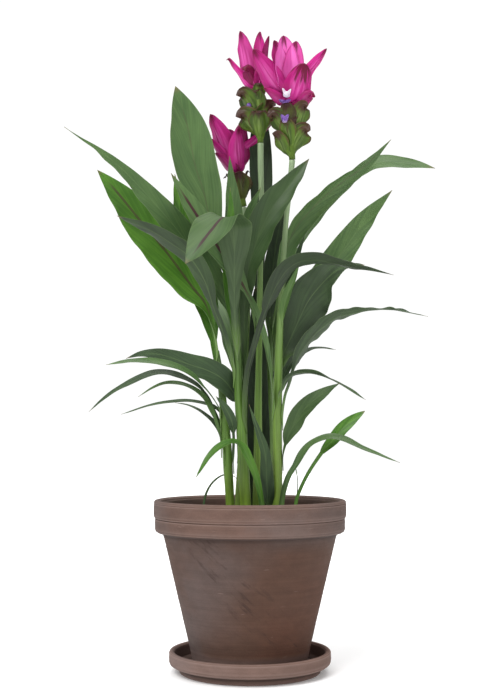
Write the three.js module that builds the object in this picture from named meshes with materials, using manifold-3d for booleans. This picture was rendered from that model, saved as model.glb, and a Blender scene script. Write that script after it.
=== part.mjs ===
// A potted Siam tulip, Curcuma alismatifolia: a clay pot on its saucer, soil, upright stems,
// long pointed leaves that clasp them, and three blooms of green and pink bracts.
// Millimetres, +Z up. The origin is the middle of the saucer's underside, and -Y is the front.

import * as THREE from 'three';
import { mergeVertices } from 'three/addons/utils/BufferGeometryUtils.js';
import Module from 'manifold-3d';

const wasm = await Module();
wasm.setup();

// Driving dimensions of the pot and its saucer
const POT_BOTTOM = 6.3;
const POT_TOP = 186;
const POT_RIM_RADIUS = 105.8;
const POT_COLLAR_STEP = 1.4;
const POT_GROOVE_HEIGHT = 166.2;
const POT_COLLAR_BOTTOM = 151;
const POT_NECK_RADIUS = 95.8;
const POT_FOOT_RADIUS = 61;
const POT_WALL = 7;
const POT_FLOOR = 9;
const POT_LIP = 1.5;
const POT_LEAN = 1;
const POT_CORNER = 6;
const POT_CORNER_RISE = 5;
const DRAIN_RADIUS = 11;
const SAUCER_RIM_RADIUS = 88.3;
const SAUCER_TOP = 23.6;
const SAUCER_FOOT_RADIUS = 76.8;
const SAUCER_FLOOR = 6;
const SAUCER_WALL = 6;
const ROUND_SIDES = 32;

// The soil lies a little below the rim, and each stem stands in a hole of its own
const SOIL_TOP = 168;
const SOIL_LUMP = 1.6;
const SOIL_RINGS = 3;
const SEAT_GAP = 0.3;
const SEAT_ROOM = 0.7;
const SOIL_ROOM = 0.4;

// Thickness of what grows, and how finely each form is stepped
const LEAF_THICKNESS = 0.9;
const BRACT_THICKNESS = 1.0;
const STEM_STEPS = 12;
const STEM_SIDES = 8;
const SPIKE_SIDES = 8;
const HOLE_SIDES = 8;
const TIP_HALF_WIDTH = 0.35;
const CLASP_LENGTH = 16;

const CLAY = [0x6f5c55, 0.85];
const SOIL_BROWN = [0x2b211b, 1.0];
const STEM_GREEN = [0x7ea04a, 0.5];
const SCAPE_GREEN = [0x9bb387, 0.5];
const LEAF_GREEN = [0x4f7a49, 0.5];
const LEAF_BRIGHT = [0x4f8a2c, 0.5];
const LEAF_DARK = [0x3c5440, 0.55];
const BRACT_GREEN = [0x6c8c36, 0.5];
const BRACT_PINK = [0xc2379b, 0.45];
const FLORET_WHITE = [0xe7ddea, 0.5];
const FLORET_VIOLET = [0x8a64b4, 0.5];

const plant = new THREE.Group();

function addMesh(name, geometry, [color, roughness]) {
  const material = new THREE.MeshStandardMaterial({ color, roughness, metalness: 0 });
  const mesh = new THREE.Mesh(geometry, material);
  mesh.name = name;
  plant.add(mesh);
}

// Solids for joining and cutting

function toSolid(geometry) {
  const bare = geometry.index ? geometry.toNonIndexed() : geometry.clone();
  bare.deleteAttribute('normal');
  bare.deleteAttribute('uv');
  const merged = mergeVertices(bare, 1e-4);
  const mesh = new wasm.Mesh({
    numProp: 3,
    vertProperties: new Float32Array(merged.attributes.position.array),
    triVerts: new Uint32Array(merged.index.array),
  });
  return new wasm.Manifold(mesh);
}

function fromSolid(solid) {
  const mesh = solid.getMesh();
  const geometry = new THREE.BufferGeometry();
  geometry.setAttribute('position', new THREE.BufferAttribute(mesh.vertProperties, 3));
  geometry.setIndex(new THREE.BufferAttribute(mesh.triVerts, 1));
  geometry.computeVertexNormals();
  return geometry;
}

// Joins closed pieces into one body; a hollow that this seals is filled, a loose scrap dropped
function joined(geometries) {
  const whole = geometries.map(toSolid).reduce((body, piece) => body.add(piece));
  return whole.decompose().reduce((main, part) => (part.volume() > main.volume() ? part : main));
}

// Round things

function lathe(profile, sides) {
  const points = profile.map(([radius, height]) => new THREE.Vector2(radius, height));
  return new THREE.LatheGeometry(points, sides).rotateX(Math.PI / 2);
}

function makeSaucer() {
  const inner = SAUCER_RIM_RADIUS - SAUCER_WALL;
  const foot = SAUCER_FOOT_RADIUS;
  const top = SAUCER_TOP;
  return lathe([
    [0, 0],
    [foot, 0],
    [foot + 3.5, 1.2],
    [SAUCER_RIM_RADIUS - 1.2, 9],
    [SAUCER_RIM_RADIUS, 12.5],
    [SAUCER_RIM_RADIUS, top - 2.2],
    [SAUCER_RIM_RADIUS - 1.2, top - 0.5],
    [SAUCER_RIM_RADIUS - 3, top],
    [inner + 1.3, top - 0.5],
    [inner, top - 2.2],
    [inner - 1.5, 10],
    [inner - 6, SAUCER_FLOOR],
    [0, SAUCER_FLOOR],
  ], ROUND_SIDES);
}

// The pot's outside radius below the collar
function potRadius(height) {
  const share = (height - POT_BOTTOM) / (POT_COLLAR_BOTTOM - POT_BOTTOM);
  return POT_FOOT_RADIUS + (POT_NECK_RADIUS - POT_FOOT_RADIUS) * share;
}

function makePot() {
  const rim = POT_RIM_RADIUS;
  const lower = rim - POT_COLLAR_STEP;
  const inner = rim - POT_WALL - POT_LIP;
  const shelf = POT_BOTTOM + POT_FLOOR;
  return lathe([
    [DRAIN_RADIUS, POT_BOTTOM],
    [POT_FOOT_RADIUS - 1.5, POT_BOTTOM],
    [potRadius(POT_BOTTOM + 2), POT_BOTTOM + 2],
    [potRadius(POT_COLLAR_BOTTOM - 2.5), POT_COLLAR_BOTTOM - 2.5],
    [POT_NECK_RADIUS + 1.5, POT_COLLAR_BOTTOM - 1],
    [lower - 3, POT_COLLAR_BOTTOM],
    [lower - 0.8, POT_COLLAR_BOTTOM + 1.4],
    [lower, POT_COLLAR_BOTTOM + 4],
    [lower, POT_GROOVE_HEIGHT - 0.7],
    [lower - 0.7, POT_GROOVE_HEIGHT],
    [rim - 0.9, POT_GROOVE_HEIGHT + 0.9],
    [rim, POT_GROOVE_HEIGHT + 4],
    [rim, POT_TOP - 4],
    [rim - 1.1, POT_TOP - 1.3],
    [rim - 3.4, POT_TOP],
    [rim - POT_WALL + 0.4, POT_TOP - 1],
    [inner, POT_TOP - 4],
    [inner - POT_LEAN, POT_COLLAR_BOTTOM],
    [potRadius(shelf) - POT_WALL, shelf + POT_CORNER_RISE],
    [potRadius(shelf) - POT_WALL - POT_CORNER, shelf],
    [DRAIN_RADIUS, shelf],
    [DRAIN_RADIUS, POT_BOTTOM],
  ], ROUND_SIDES);
}

// The soil's uneven top, as two crossed waves
function soilLump(x, y) {
  const broad = Math.sin(x * 0.13 + 1.3) * Math.cos(y * 0.11);
  const fine = Math.sin((x + y) * 0.21);
  return SOIL_LUMP * (broad + 0.6 * fine);
}

function makeSoilBlock() {
  const shelf = POT_BOTTOM + POT_FLOOR;
  const foot = potRadius(shelf) - POT_WALL - SOIL_ROOM;
  const edge = POT_RIM_RADIUS - POT_WALL - POT_LIP - POT_LEAN - SOIL_ROOM;
  const profile = [
    [0, shelf + SEAT_GAP],
    [foot - POT_CORNER, shelf + SEAT_GAP],
    [foot, shelf + POT_CORNER_RISE],
    [edge, POT_COLLAR_BOTTOM],
  ];
  for (let ring = SOIL_RINGS; ring >= 0; ring -= 1) {
    profile.push([(edge * ring) / SOIL_RINGS, SOIL_TOP]);
  }
  const block = lathe(profile, ROUND_SIDES);
  const place = block.attributes.position;
  for (let i = 0; i < place.count; i += 1) {
    if (place.getZ(i) < SOIL_TOP - 1) continue;
    place.setZ(i, SOIL_TOP + soilLump(place.getX(i), place.getY(i)));
  }
  return block;
}

// Stems: a turned profile bent along a hand-placed line

const UP = new THREE.Vector3(0, 0, 1);
const RIGHT = new THREE.Vector3(1, 0, 0);

function curveThrough(points) {
  return new THREE.CatmullRomCurve3(points.map((point) => new THREE.Vector3(...point)));
}

function bentLathe(path, radii, steps, sides) {
  const curve = curveThrough(path);
  const profile = [[0, 0]];
  for (let step = 0; step <= steps; step += 1) {
    profile.push([sampleRow(radii, step / steps), step / steps]);
  }
  profile.push([0, 1]);
  const geometry = lathe(profile, sides);
  const place = geometry.attributes.position;
  for (let i = 0; i < place.count; i += 1) {
    const share = Math.min(1, Math.max(0, place.getZ(i)));
    const along = curve.getTangent(share);
    const across = RIGHT.clone().addScaledVector(along, -along.x).normalize();
    const behind = along.clone().cross(across);
    const point = curve.getPoint(share);
    point.addScaledVector(across, place.getX(i)).addScaledVector(behind, place.getY(i));
    place.setXYZ(i, point.x, point.y, point.z);
  }
  return geometry;
}

// A value read off evenly spaced numbers
function sampleRow(row, share) {
  const spot = share * (row.length - 1);
  const low = Math.min(row.length - 2, Math.floor(spot));
  return row[low] + (row[low + 1] - row[low]) * (spot - low);
}

const STEMS = {
  stem_left: {
    path: [[-21, -4, 150], [-22, -5, 185], [-24, -7, 219], [-26, -8, 252], [-29, -8, 285],
      [-33, -8, 325], [-35, -9, 350]],
    radii: [4.6, 4.8, 5.2, 5.2, 4.4, 3.6, 1],
    finish: STEM_GREEN,
  },
  stem_front: {
    path: [[-3, -14, 150], [-5, -14, 183], [-7, -15, 219], [-9, -16, 257], [-12, -17, 295],
      [-13, -17, 322], [-14, -17, 351], [-16, -18, 376]],
    radii: [5.8, 6, 6.2, 5.8, 4.8, 4.4, 4.2, 0.8],
    finish: STEM_GREEN,
  },
  stem_middle: {
    path: [[7, 15, 150], [8, 15, 185], [9, 16, 235], [9, 16, 285], [10, 15, 340], [11, 15, 414],
      [12, 14, 472], [13, 12, 520], [12, 10, 562], [12, 10, 587]],
    radii: [5.4, 5.2, 5, 4.4, 3.6, 3.4, 3, 2.9, 3.3, 3.4],
    finish: SCAPE_GREEN,
  },
  stem_right: {
    path: [[31, -6, 150], [30, -6, 185], [30, -6, 225], [30, -7, 272], [31, -8, 318],
      [32, -8, 351], [34, -8, 395], [37, -9, 451], [40, -11, 493], [44, -13, 530], [47, -14, 562]],
    radii: [5.6, 5.6, 5.6, 5.2, 4.6, 4.3, 3.4, 3, 2.8, 2.9, 3.3],
    finish: SCAPE_GREEN,
  },
  stem_rear_left: {
    path: [[-13, 22, 150], [-12, 23, 185], [-8, 27, 240], [-4, 31, 296], [-3, 34, 365],
      [-4, 35, 434], [-6, 33, 485], [-7, 31, 518]],
    radii: [5, 5, 5, 4.4, 3.8, 3.4, 3, 3],
    finish: SCAPE_GREEN,
  },
  stem_rear_right: {
    path: [[18, 34, 150], [19, 35, 180], [21, 38, 240], [22, 39, 297], [23, 39, 354],
      [23, 39, 392]],
    radii: [5, 5, 4.8, 4.2, 3.6, 0.8],
    finish: STEM_GREEN,
  },
};

function makeStem({ path, radii }) {
  return bentLathe(path, radii, STEM_STEPS, STEM_SIDES);
}

// The point of a stem's axis at a height, and its radius there
function stemAt(name, height) {
  const { path, radii } = STEMS[name];
  const curve = curveThrough(path);
  let low = 0;
  let high = 1;
  while (high - low > 1e-6) {
    const middle = (low + high) / 2;
    if (curve.getPoint(middle).z < height) low = middle;
    else high = middle;
  }
  return { axis: curve.getPoint(low), radius: sampleRow(radii, low) };
}

// Leaves and bracts: a thin curved strip along a line. The shares of its length over which it
// opens from the clasp, turns to its own face, and then turns to the face of its tip
const OPENING_SHARE = 0.3;
const FACING_SHARE = 0.35;
const TIP_TURN_START = 0.45;
const TIP_TURN_SHARE = 0.5;

function smooth(share) {
  const t = Math.min(1, Math.max(0, share));
  return t * t * (3 - 2 * t);
}

// The strip's middle surface and its normals. Across, it is an arc: at the foot it has the
// foot's radius, and along the blade it opens to the blade's own half angle.
function stripRows(form) {
  const { curve, steps, across, width, footWidth, stalk, belly, fullness, roll, footArc } = form;
  const rows = [];
  for (let step = 0; step <= steps; step += 1) {
    const share = step / steps;
    const along = curve.getTangentAt(share);
    const normal = form.normal(share, along);
    const side = along.clone().cross(normal);
    const blade = Math.max(0, (share - stalk) / (1 - stalk));
    const narrow = (footWidth / 2) * (1 - blade) ** 3;
    const wide = (width / 2) * Math.sin(Math.PI * blade ** belly) ** fullness;
    const half = Math.max(TIP_HALF_WIDTH, narrow + wide);
    const open = smooth((share - stalk * 0.5) / OPENING_SHARE);
    const angle = (footWidth / 2 / footArc) * (1 - open) + roll * open;
    const radius = half / angle;
    const middle = curve.getPointAt(share);
    const row = [];
    for (let i = 0; i <= across; i += 1) {
      const turn = angle * ((2 * i) / across - 1);
      const point = middle.clone()
        .addScaledVector(side, radius * Math.sin(turn))
        .addScaledVector(normal, radius * (1 - Math.cos(turn)));
      const outward = normal.clone().multiplyScalar(Math.cos(turn))
        .addScaledVector(side, -Math.sin(turn));
      row.push({ point, outward });
    }
    rows.push(row);
  }
  return rows;
}

// Closes the strip between its two faces, which are split into triangles alike
function stripGeometry(form) {
  const rows = stripRows(form);
  const { steps, across, thickness } = form;
  const corners = [];
  for (const face of [0.5, -0.5]) {
    for (const row of rows) {
      for (const { point, outward } of row) {
        const corner = point.clone().addScaledVector(outward, thickness * face);
        corners.push(corner.x, corner.y, corner.z);
      }
    }
  }
  const lower = (steps + 1) * (across + 1);
  const at = (step, i) => step * (across + 1) + i;
  const index = [];
  const quad = (a, b, c, d) => index.push(a, b, c, a, c, d);
  for (let step = 0; step < steps; step += 1) {
    for (let i = 0; i < across; i += 1) {
      const ring = [at(step, i), at(step, i + 1), at(step + 1, i + 1), at(step + 1, i)];
      index.push(ring[0], ring[1], ring[2], ring[0], ring[2], ring[3]);
      const under = ring.map((corner) => corner + lower);
      index.push(under[0], under[2], under[1], under[0], under[3], under[2]);
    }
    quad(at(step, 0), at(step + 1, 0), at(step + 1, 0) + lower, at(step, 0) + lower);
    quad(at(step + 1, across), at(step, across), at(step, across) + lower,
      at(step + 1, across) + lower);
  }
  for (let i = 0; i < across; i += 1) {
    quad(at(0, i + 1), at(0, i), at(0, i) + lower, at(0, i + 1) + lower);
    quad(at(steps, i), at(steps, i + 1), at(steps, i + 1) + lower, at(steps, i) + lower);
  }
  const geometry = new THREE.BufferGeometry();
  geometry.setAttribute('position', new THREE.Float32BufferAttribute(corners, 3));
  geometry.setIndex(index);
  geometry.computeVertexNormals();
  return geometry;
}

const STRIP = {
  steps: 12,
  across: 2,
  width: 20,
  footWidth: 8,
  stalk: 0.3,
  belly: 0.85,
  fullness: 0.95,
  roll: 0.4,
  footArc: 4,
  thickness: LEAF_THICKNESS,
};

function vector(values) {
  return new THREE.Vector3(...values).normalize();
}

// Turns a normal round the line's direction by a share of the way to another one
function turnTowards(normal, target, along, share) {
  const level = target.clone().addScaledVector(along, -along.dot(target));
  const angle = Math.atan2(normal.clone().cross(level).dot(along), normal.dot(level));
  return normal.clone().applyAxisAngle(along, angle * share);
}

// The way the upper face looks: in to the stem at the foot, then out along the blade
function normalOf(inward, face, tipFace) {
  const first = inward.clone().normalize();
  const second = vector(face);
  const third = vector(tipFace ?? face);
  return (share, along) => {
    const foot = first.clone().addScaledVector(along, -along.dot(first)).normalize();
    const blade = turnTowards(foot, second, along, smooth(share / FACING_SHARE));
    return turnTowards(blade, third, along, smooth((share - TIP_TURN_START) / TIP_TURN_SHARE));
  };
}

// A leaf that clasps a stem at a height, on the side given in degrees: 0 is right, -90 front
function makeStemLeaf(leaf) {
  const turn = THREE.MathUtils.degToRad(leaf.side);
  const outward = new THREE.Vector3(Math.cos(turn), Math.sin(turn), 0);
  const seats = [0, CLASP_LENGTH].map((rise) => {
    const { axis, radius } = stemAt(leaf.stem, leaf.height + rise);
    return axis.addScaledVector(outward, radius + SEAT_ROOM + LEAF_THICKNESS / 2).toArray();
  });
  const { radius } = stemAt(leaf.stem, leaf.height);
  const form = { ...STRIP, footArc: radius + SEAT_ROOM + LEAF_THICKNESS / 2, ...leaf };
  form.curve = curveThrough([...seats, ...leaf.path]);
  form.normal = normalOf(outward.negate(), leaf.face, leaf.tipFace);
  return stripGeometry(form);
}

// A leaf that comes up through the soil by itself
function makeSoilLeaf(leaf) {
  const form = { ...STRIP, footArc: 3, footWidth: 4, ...leaf };
  form.curve = curveThrough(leaf.path);
  form.normal = normalOf(vector(leaf.inward), leaf.face, leaf.tipFace);
  return stripGeometry(form);
}

const LEAVES = [
  // The broad leaves behind and to the left
  { name: 'leaf_01', stem: 'stem_rear_left', side: 180, height: 370, width: 50, across: 4,
    face: [0.15, -1, 0.1], finish: LEAF_GREEN, stalk: 0.22, belly: 1.6,
    fullness: 0.9,
    path: [[-20, 20, 421], [-31, 15, 452], [-42, 13, 483], [-52, 11, 530], [-62, 9, 561],
      [-71, 4, 606], [-84, -4, 649]] },
  { name: 'leaf_02', stem: 'stem_left', side: 200, height: 332, width: 50, across: 4,
    face: [0.1, -0.9, 0.3], finish: LEAF_BRIGHT, stalk: 0.18, belly: 1.0,
    fullness: 0.9,
    path: [[-43, -13, 383], [-50, -9, 403], [-64, -7, 421], [-93, -10, 460], [-121, -16, 493],
      [-144, -22, 521], [-168, -28, 548]] },
  { name: 'leaf_03', stem: 'stem_rear_left', side: 190, height: 300, width: 33,
    face: [0.2, -0.9, 0.35], finish: LEAF_GREEN, stalk: 0.28, belly: 0.65,
    fullness: 1.45, footWidth: 6,
    path: [[-27, 2, 404], [-42, -16, 431], [-66, -30, 463], [-82, -38, 483], [-100, -48, 503],
      [-118, -57, 522], [-147, -68, 549], [-197, -78, 583]] },
  { name: 'leaf_04', stem: 'stem_front', side: 200, height: 308, width: 22,
    face: [0.1, 0.7, 0.7], finish: LEAF_DARK, stalk: 0.4,
    path: [[-24, -22, 352], [-30, -28, 371], [-39, -37, 394], [-49, -46, 424], [-65, -55, 448],
      [-85, -63, 462], [-104, -71, 473], [-140, -82, 487]] },
  { name: 'leaf_05', stem: 'stem_right', side: -150, height: 272, width: 30, across: 4,
    face: [0.3, -0.8, 0.4], finish: LEAF_GREEN, stalk: 0.5, belly: 0.9,
    path: [[24, -17, 306], [21, -19, 334], [16, -23, 363], [7, -26, 391], [-4, -28, 413],
      [-19, -32, 438], [-35, -41, 460], [-54, -49, 488], [-74, -55, 519], [-85, -57, 538]] },
  { name: 'leaf_06', stem: 'stem_front', side: -90, height: 338, width: 46, across: 4,
    face: [0, 0.3, 1], tipFace: [-0.3, -1, 0.6], finish: LEAF_GREEN, stalk: 0.18, belly: 1.95,
    footWidth: 10, path: [[-16, -29, 377], [-18, -36, 406], [-18, -44, 435], [-15, -54, 463],
      [-14, -64, 482], [-22, -76, 489], [-39, -88, 471], [-55, -93, 449], [-66, -96, 436]] },
  { name: 'leaf_07', stem: 'stem_left', side: 90, height: 300, width: 30,
    face: [0.3, -1, 0], finish: LEAF_BRIGHT, stalk: 0.25,
    path: [[-38, 2, 345], [-47, 4, 395], [-59, 4, 440], [-70, 2, 473], [-77, -2, 501],
      [-81, -6, 523], [-84, -8, 548]] },
  { name: 'leaf_08', stem: 'stem_rear_left', side: -140, height: 322, width: 25,
    face: [0, -1, 0.1], finish: LEAF_GREEN, stalk: 0.25,
    footWidth: 5,
    path: [[-10, 24, 362], [-13, 12, 396], [-15, 6, 430], [-17, 3, 487], [-20, 0, 531], [-23, -4, 569]] },
  { name: 'leaf_09', stem: 'stem_front', side: 90, height: 338, width: 15,
    face: [0, -1, 0.1], finish: LEAF_BRIGHT, stalk: 0.25,
    path: [[-20, -12, 395], [-22, -14, 440], [-22, -17, 478], [-21, -19, 503], [-22, -20, 530]] },
  { name: 'leaf_10', stem: 'stem_middle', side: 185, height: 355, width: 18,
    face: [0.3, -1, 0.1], finish: LEAF_GREEN, stalk: 0.35,
    footWidth: 5,
    path: [[3, 4, 394], [-4, -2, 424], [-8, -4, 453], [-6, -9, 475], [-2, -13, 497],
      [5, -16, 516], [12, -16, 531]] },
  { name: 'leaf_11', stem: 'stem_rear_right', side: 180, height: 325, width: 27,
    face: [0, -1, 0], finish: LEAF_DARK, stalk: 0.15,
    belly: 2.1, fullness: 0.7,
    path: [[11, 40, 395], [10, 41, 440], [12, 41, 499], [13, 41, 546], [12, 41, 592],
      [11, 40, 645]] },
  { name: 'leaf_12', stem: 'stem_front', side: 0, height: 285, width: 35, across: 4,
    face: [-0.1, -1, 0.2], finish: LEAF_GREEN, stalk: 0.3, belly: 1.3,
    roll: 0.75,
    path: [[-5, -13, 330], [-6, -14, 365], [-6, -15, 392], [-5, -17, 415], [-2, -21, 438],
      [5, -26, 462], [13, -30, 483], [25, -33, 506], [39, -34, 524], [52, -33, 542],
      [65, -30, 560]] },
  { name: 'leaf_13', stem: 'stem_rear_right', side: -10, height: 362, width: 26,
    face: [0.2, -0.75, -0.5], finish: LEAF_GREEN, stalk: 0.2, roll: 0.9,
    footWidth: 5,
    path: [[32, 29, 410], [37, 28, 446], [44, 26, 476], [54, 20, 494], [67, 12, 509],
      [84, 4, 525], [104, -4, 540], [128, -10, 557], [157, -16, 585]] },
  { name: 'leaf_14', stem: 'stem_rear_right', side: 30, height: 330, width: 20,
    face: [-0.2, -0.6, 0.8], finish: LEAF_GREEN, stalk: 0.3,
    footWidth: 5,
    tipFace: [-0.15, -0.9, 0.4],
    belly: 2.0,
    path: [[33, 42, 405], [39, 43, 430], [51, 48, 462], [71, 49, 495], [97, 45, 529], [125, 36, 558],
      [147, 28, 569], [173, 18, 566], [193, 10, 562], [209, 4, 557]] },
  { name: 'leaf_15', stem: 'stem_right', side: 70, height: 318, width: 48, across: 4,
    face: [0.1, -1, 0.1], tipFace: [-0.1, -0.6, 0.8], finish: LEAF_DARK, stalk: 0.05, belly: 1.1,
    roll: 0.3,
    path: [[37, 1, 346], [46, 3, 366], [56, 3, 388], [65, 1, 406], [76, -4, 420], [87, -10, 431],
      [96, -16, 438], [104, -21, 441], [113, -27, 442], [125, -32, 442]] },
  { name: 'leaf_16', stem: 'stem_right', side: 110, height: 284, width: 33, across: 4,
    face: [-0.2, -0.95, 0.2], finish: LEAF_GREEN, stalk: 0.22, belly: 1.15,
    path: [[31, 8, 318], [34, 17, 344], [42, 21, 372], [51, 22, 393], [62, 23, 409], [75, 23, 425],
      [88, 23, 442], [100, 21, 458], [111, 18, 473], [130, 11, 499], [159, -6, 530]] },
  { name: 'leaf_17', stem: 'stem_front', side: -35, height: 258, width: 21,
    face: [-0.3, 0.55, 0.6], tipFace: [0, 0.35, 0.9], finish: LEAF_DARK, stalk: 0.45, belly: 0.7,
    path: [[-5, -25, 300], [-2, -30, 327], [4, -35, 350], [10, -40, 371], [19, -46, 397],
      [29, -52, 419], [41, -58, 435], [54, -62, 442], [70, -66, 443], [90, -70, 439],
      [113, -76, 433], [132, -80, 429], [150, -84, 424]] },
  { name: 'leaf_18', stem: 'stem_rear_right', side: -30, height: 300, width: 10,
    face: [-0.2, -1, 0.1], finish: LEAF_DARK, stalk: 0.25,
    footWidth: 5,
    path: [[33, 33, 350], [38, 36, 388], [44, 38, 421], [52, 37, 452], [58, 34, 473], [66, 30, 498]] },
  { name: 'leaf_19', stem: 'stem_right', side: -60, height: 376, width: 10,
    face: [-0.5, 0.85, 0.1], finish: LEAF_BRIGHT, stalk: 0.1, footWidth: 6, steps: 10,
    path: [[41, -21, 412], [48, -25, 428], [54, -26, 445]] },
  { name: 'leaf_20', stem: 'stem_right', side: -20, height: 262, width: 20,
    face: [-0.45, 0.55, 0.5], tipFace: [0, -0.25, 0.95], finish: LEAF_DARK, stalk: 0.3,
    belly: 0.6,
    footWidth: 6,
    path: [[39, -9, 300], [43, -9, 312], [48, -10, 329], [53, -10, 343], [61, -9, 356], [72, -9, 369],
      [85, -7, 380], [99, -5, 389], [112, -3, 392], [136, -5, 396], [158, -8, 396],
      [177, -12, 392], [196, -16, 387]] },
  { name: 'leaf_21', stem: 'stem_right', side: 50, height: 288, width: 11,
    face: [0, -0.4, 0.9], finish: LEAF_DARK, stalk: 0.2, footWidth: 3, steps: 10,
    path: [[37, 1, 318], [43, 10, 333], [54, 22, 346], [68, 29, 354], [82, 31, 356], [98, 33, 354]] },
  { name: 'leaf_22', stem: 'stem_right', side: -75, height: 286, width: 11,
    face: [0.2, 0.4, 0.9], finish: LEAF_DARK, stalk: 0.2, footWidth: 3, steps: 10,
    tipFace: [0, -0.5, 0.85],
    path: [[36, -16, 308], [39, -18, 316], [45, -20, 322], [53, -20, 325], [66, -21, 325], [83, -24, 320],
      [99, -27, 312], [125, -33, 295]] },
  { name: 'leaf_23', stem: 'stem_right', side: -20, height: 218, width: 23,
    face: [-0.2, -0.8, 0.5], finish: LEAF_GREEN, stalk: 0.42, footWidth: 4,
    path: [[42, -16, 257], [48, -19, 268], [55, -22, 280], [65, -27, 291], [79, -32, 302],
      [97, -37, 313]] },
  { name: 'leaf_24', soil: true, width: 14, inward: [-0.5, -1, 0], face: [-0.2, -1, 0.3],
    finish: LEAF_BRIGHT, stalk: 0.58, belly: 1.0, fullness: 0.75,
    path: [[50, -21, 155], [50, -22, 184], [54, -23, 197], [61, -25, 212], [70, -27, 227],
      [79, -29, 240], [90, -31, 252], [100, -32, 264], [110, -33, 273], [124, -35, 283]] },
  { name: 'leaf_25', soil: true, width: 11, inward: [-0.5, -1, 0], face: [0, -0.6, 0.8],
    finish: LEAF_GREEN, stalk: 0.35,
    path: [[35, -24, 155], [35, -24, 184], [41, -26, 209], [50, -28, 225], [57, -31, 238],
      [64, -34, 246], [74, -38, 252], [86, -42, 255], [100, -46, 253], [118, -51, 244],
      [138, -56, 236], [158, -61, 228]] },
  { name: 'leaf_26', soil: true, width: 2.4, inward: [-1, -0.3, 0], face: [-1, 0, 0],
    finish: LEAF_GREEN, stalk: 0.3, footWidth: 2, steps: 8,
    path: [[50, -12, 155], [51, -12, 186], [52, -12, 207], [50, -10, 222]] },
  { name: 'leaf_27', soil: true, width: 11, inward: [-0.3, -1, 0], face: [-0.2, -0.5, 0.85],
    finish: LEAF_BRIGHT, stalk: 0.35, belly: 1.1,
    path: [[15, -31, 155], [13, -32, 184], [7, -34, 211], [-1, -36, 231], [-9, -38, 245],
      [-18, -41, 250], [-32, -45, 245], [-44, -50, 233], [-58, -55, 211]] },
  { name: 'leaf_28', soil: true, width: 2, inward: [0.3, -1, 0], face: [0, -1, 0.2],
    finish: LEAF_DARK, stalk: 0.2, footWidth: 1.8, steps: 10,
    path: [[-51, 8, 155], [-51, 8, 182], [-47, 7, 196], [-39, 6, 207], [-29, 6, 213],
      [-19, 6, 212], [-14, 6, 208]] },
  // The lower left leaves, which arch out over the pot
  { name: 'leaf_29', stem: 'stem_rear_left', side: 215, height: 225, width: 26, across: 4,
    face: [0.1, -0.92, 0.35], finish: LEAF_DARK, stalk: 0.35, belly: 0.65,
    path: [[-11, 9, 272], [-12, 1, 288], [-18, -7, 303], [-30, -19, 318], [-46, -25, 327],
      [-65, -30, 333], [-84, -34, 340], [-100, -38, 344], [-118, -42, 344], [-133, -46, 339]] },
  { name: 'leaf_30', stem: 'stem_left', side: 215, height: 260, width: 13,
    face: [0.3, -0.5, 0.8], finish: LEAF_GREEN, stalk: 0.35, footWidth: 5,
    path: [[-34, -17, 286], [-41, -27, 298], [-50, -37, 309], [-64, -45, 322],
      [-83, -51, 331], [-106, -56, 335], [-130, -61, 335], [-152, -66, 331]] },
  { name: 'leaf_31', stem: 'stem_left', side: 180, height: 232, width: 13,
    face: [-0.1, -0.5, 0.85], finish: LEAF_DARK, stalk: 0.35, footWidth: 6,
    path: [[-35, -8, 271], [-42, -10, 287], [-49, -13, 301], [-59, -18, 312], [-72, -22, 319],
      [-90, -26, 324], [-108, -30, 323], [-128, -34, 314], [-154, -38, 299],
      [-173, -41, 282]] },
  { name: 'leaf_32', stem: 'stem_left', side: -130, height: 222, width: 9,
    face: [-0.1, -0.5, 0.85], finish: LEAF_GREEN, stalk: 0.35, footWidth: 4,
    path: [[-34, -18, 262], [-40, -21, 280], [-48, -25, 295], [-60, -29, 306], [-74, -33, 312],
      [-90, -37, 313], [-106, -40, 307], [-120, -42, 298]] },
  { name: 'leaf_33', stem: 'stem_left', side: 100, height: 262, width: 5,
    face: [0, -0.6, 0.8], finish: LEAF_DARK, stalk: 0.2, footWidth: 4, steps: 10,
    path: [[-39, -3, 288], [-47, -1, 291], [-61, 1, 294], [-73, 3, 295], [-88, 5, 294],
      [-112, 8, 290], [-144, 11, 280]] },
  { name: 'leaf_34', stem: 'stem_left', side: 100, height: 212, width: 5,
    face: [0, -0.6, 0.8], finish: LEAF_DARK, stalk: 0.2, footWidth: 4, steps: 10,
    path: [[-32, 3, 258], [-40, 5, 271], [-49, 8, 279], [-59, 12, 286], [-71, 16, 291],
      [-84, 19, 293]] },
  { name: 'leaf_35', stem: 'stem_left', side: -15, height: 214, width: 11,
    face: [0.1, -0.8, 0.4], finish: LEAF_DARK, stalk: 0.5, footWidth: 3, steps: 10,
    path: [[-18, -17, 258], [-20, -24, 272], [-28, -29, 288], [-37, -31, 299]] },
  { name: 'leaf_36', stem: 'stem_rear_right', side: 90, height: 360, width: 20,
    face: [0, -1, 0], finish: LEAF_DARK, stalk: 0.15,
    path: [[24, 55, 424], [27, 57, 453], [31, 56, 482], [37, 53, 508], [47, 48, 532]] },
  { name: 'leaf_37', soil: true, width: 12, inward: [0.8, 0.6, 0], face: [0.2, -1, 0.1],
    finish: LEAF_DARK, stalk: 0.1, footWidth: 11, footArc: 7, belly: 0.7, steps: 10,
    path: [[18, -14, 155], [19, -14, 186], [18, -16, 213], [16, -19, 239], [9, -23, 261],
      [-1, -26, 290]] },
  // Leaves at the back
  { name: 'leaf_38', stem: 'stem_rear_right', side: 80, height: 300, width: 30,
    face: [0, -0.3, 1], finish: LEAF_GREEN, stalk: 0.25,
    footWidth: 6,
    path: [[28, 56, 380], [32, 74, 430], [36, 100, 470], [40, 130, 486], [42, 160, 480]] },
  { name: 'leaf_39', stem: 'stem_rear_left', side: 100, height: 260, width: 28,
    face: [0, -0.3, 1], finish: LEAF_GREEN, stalk: 0.25,
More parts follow.
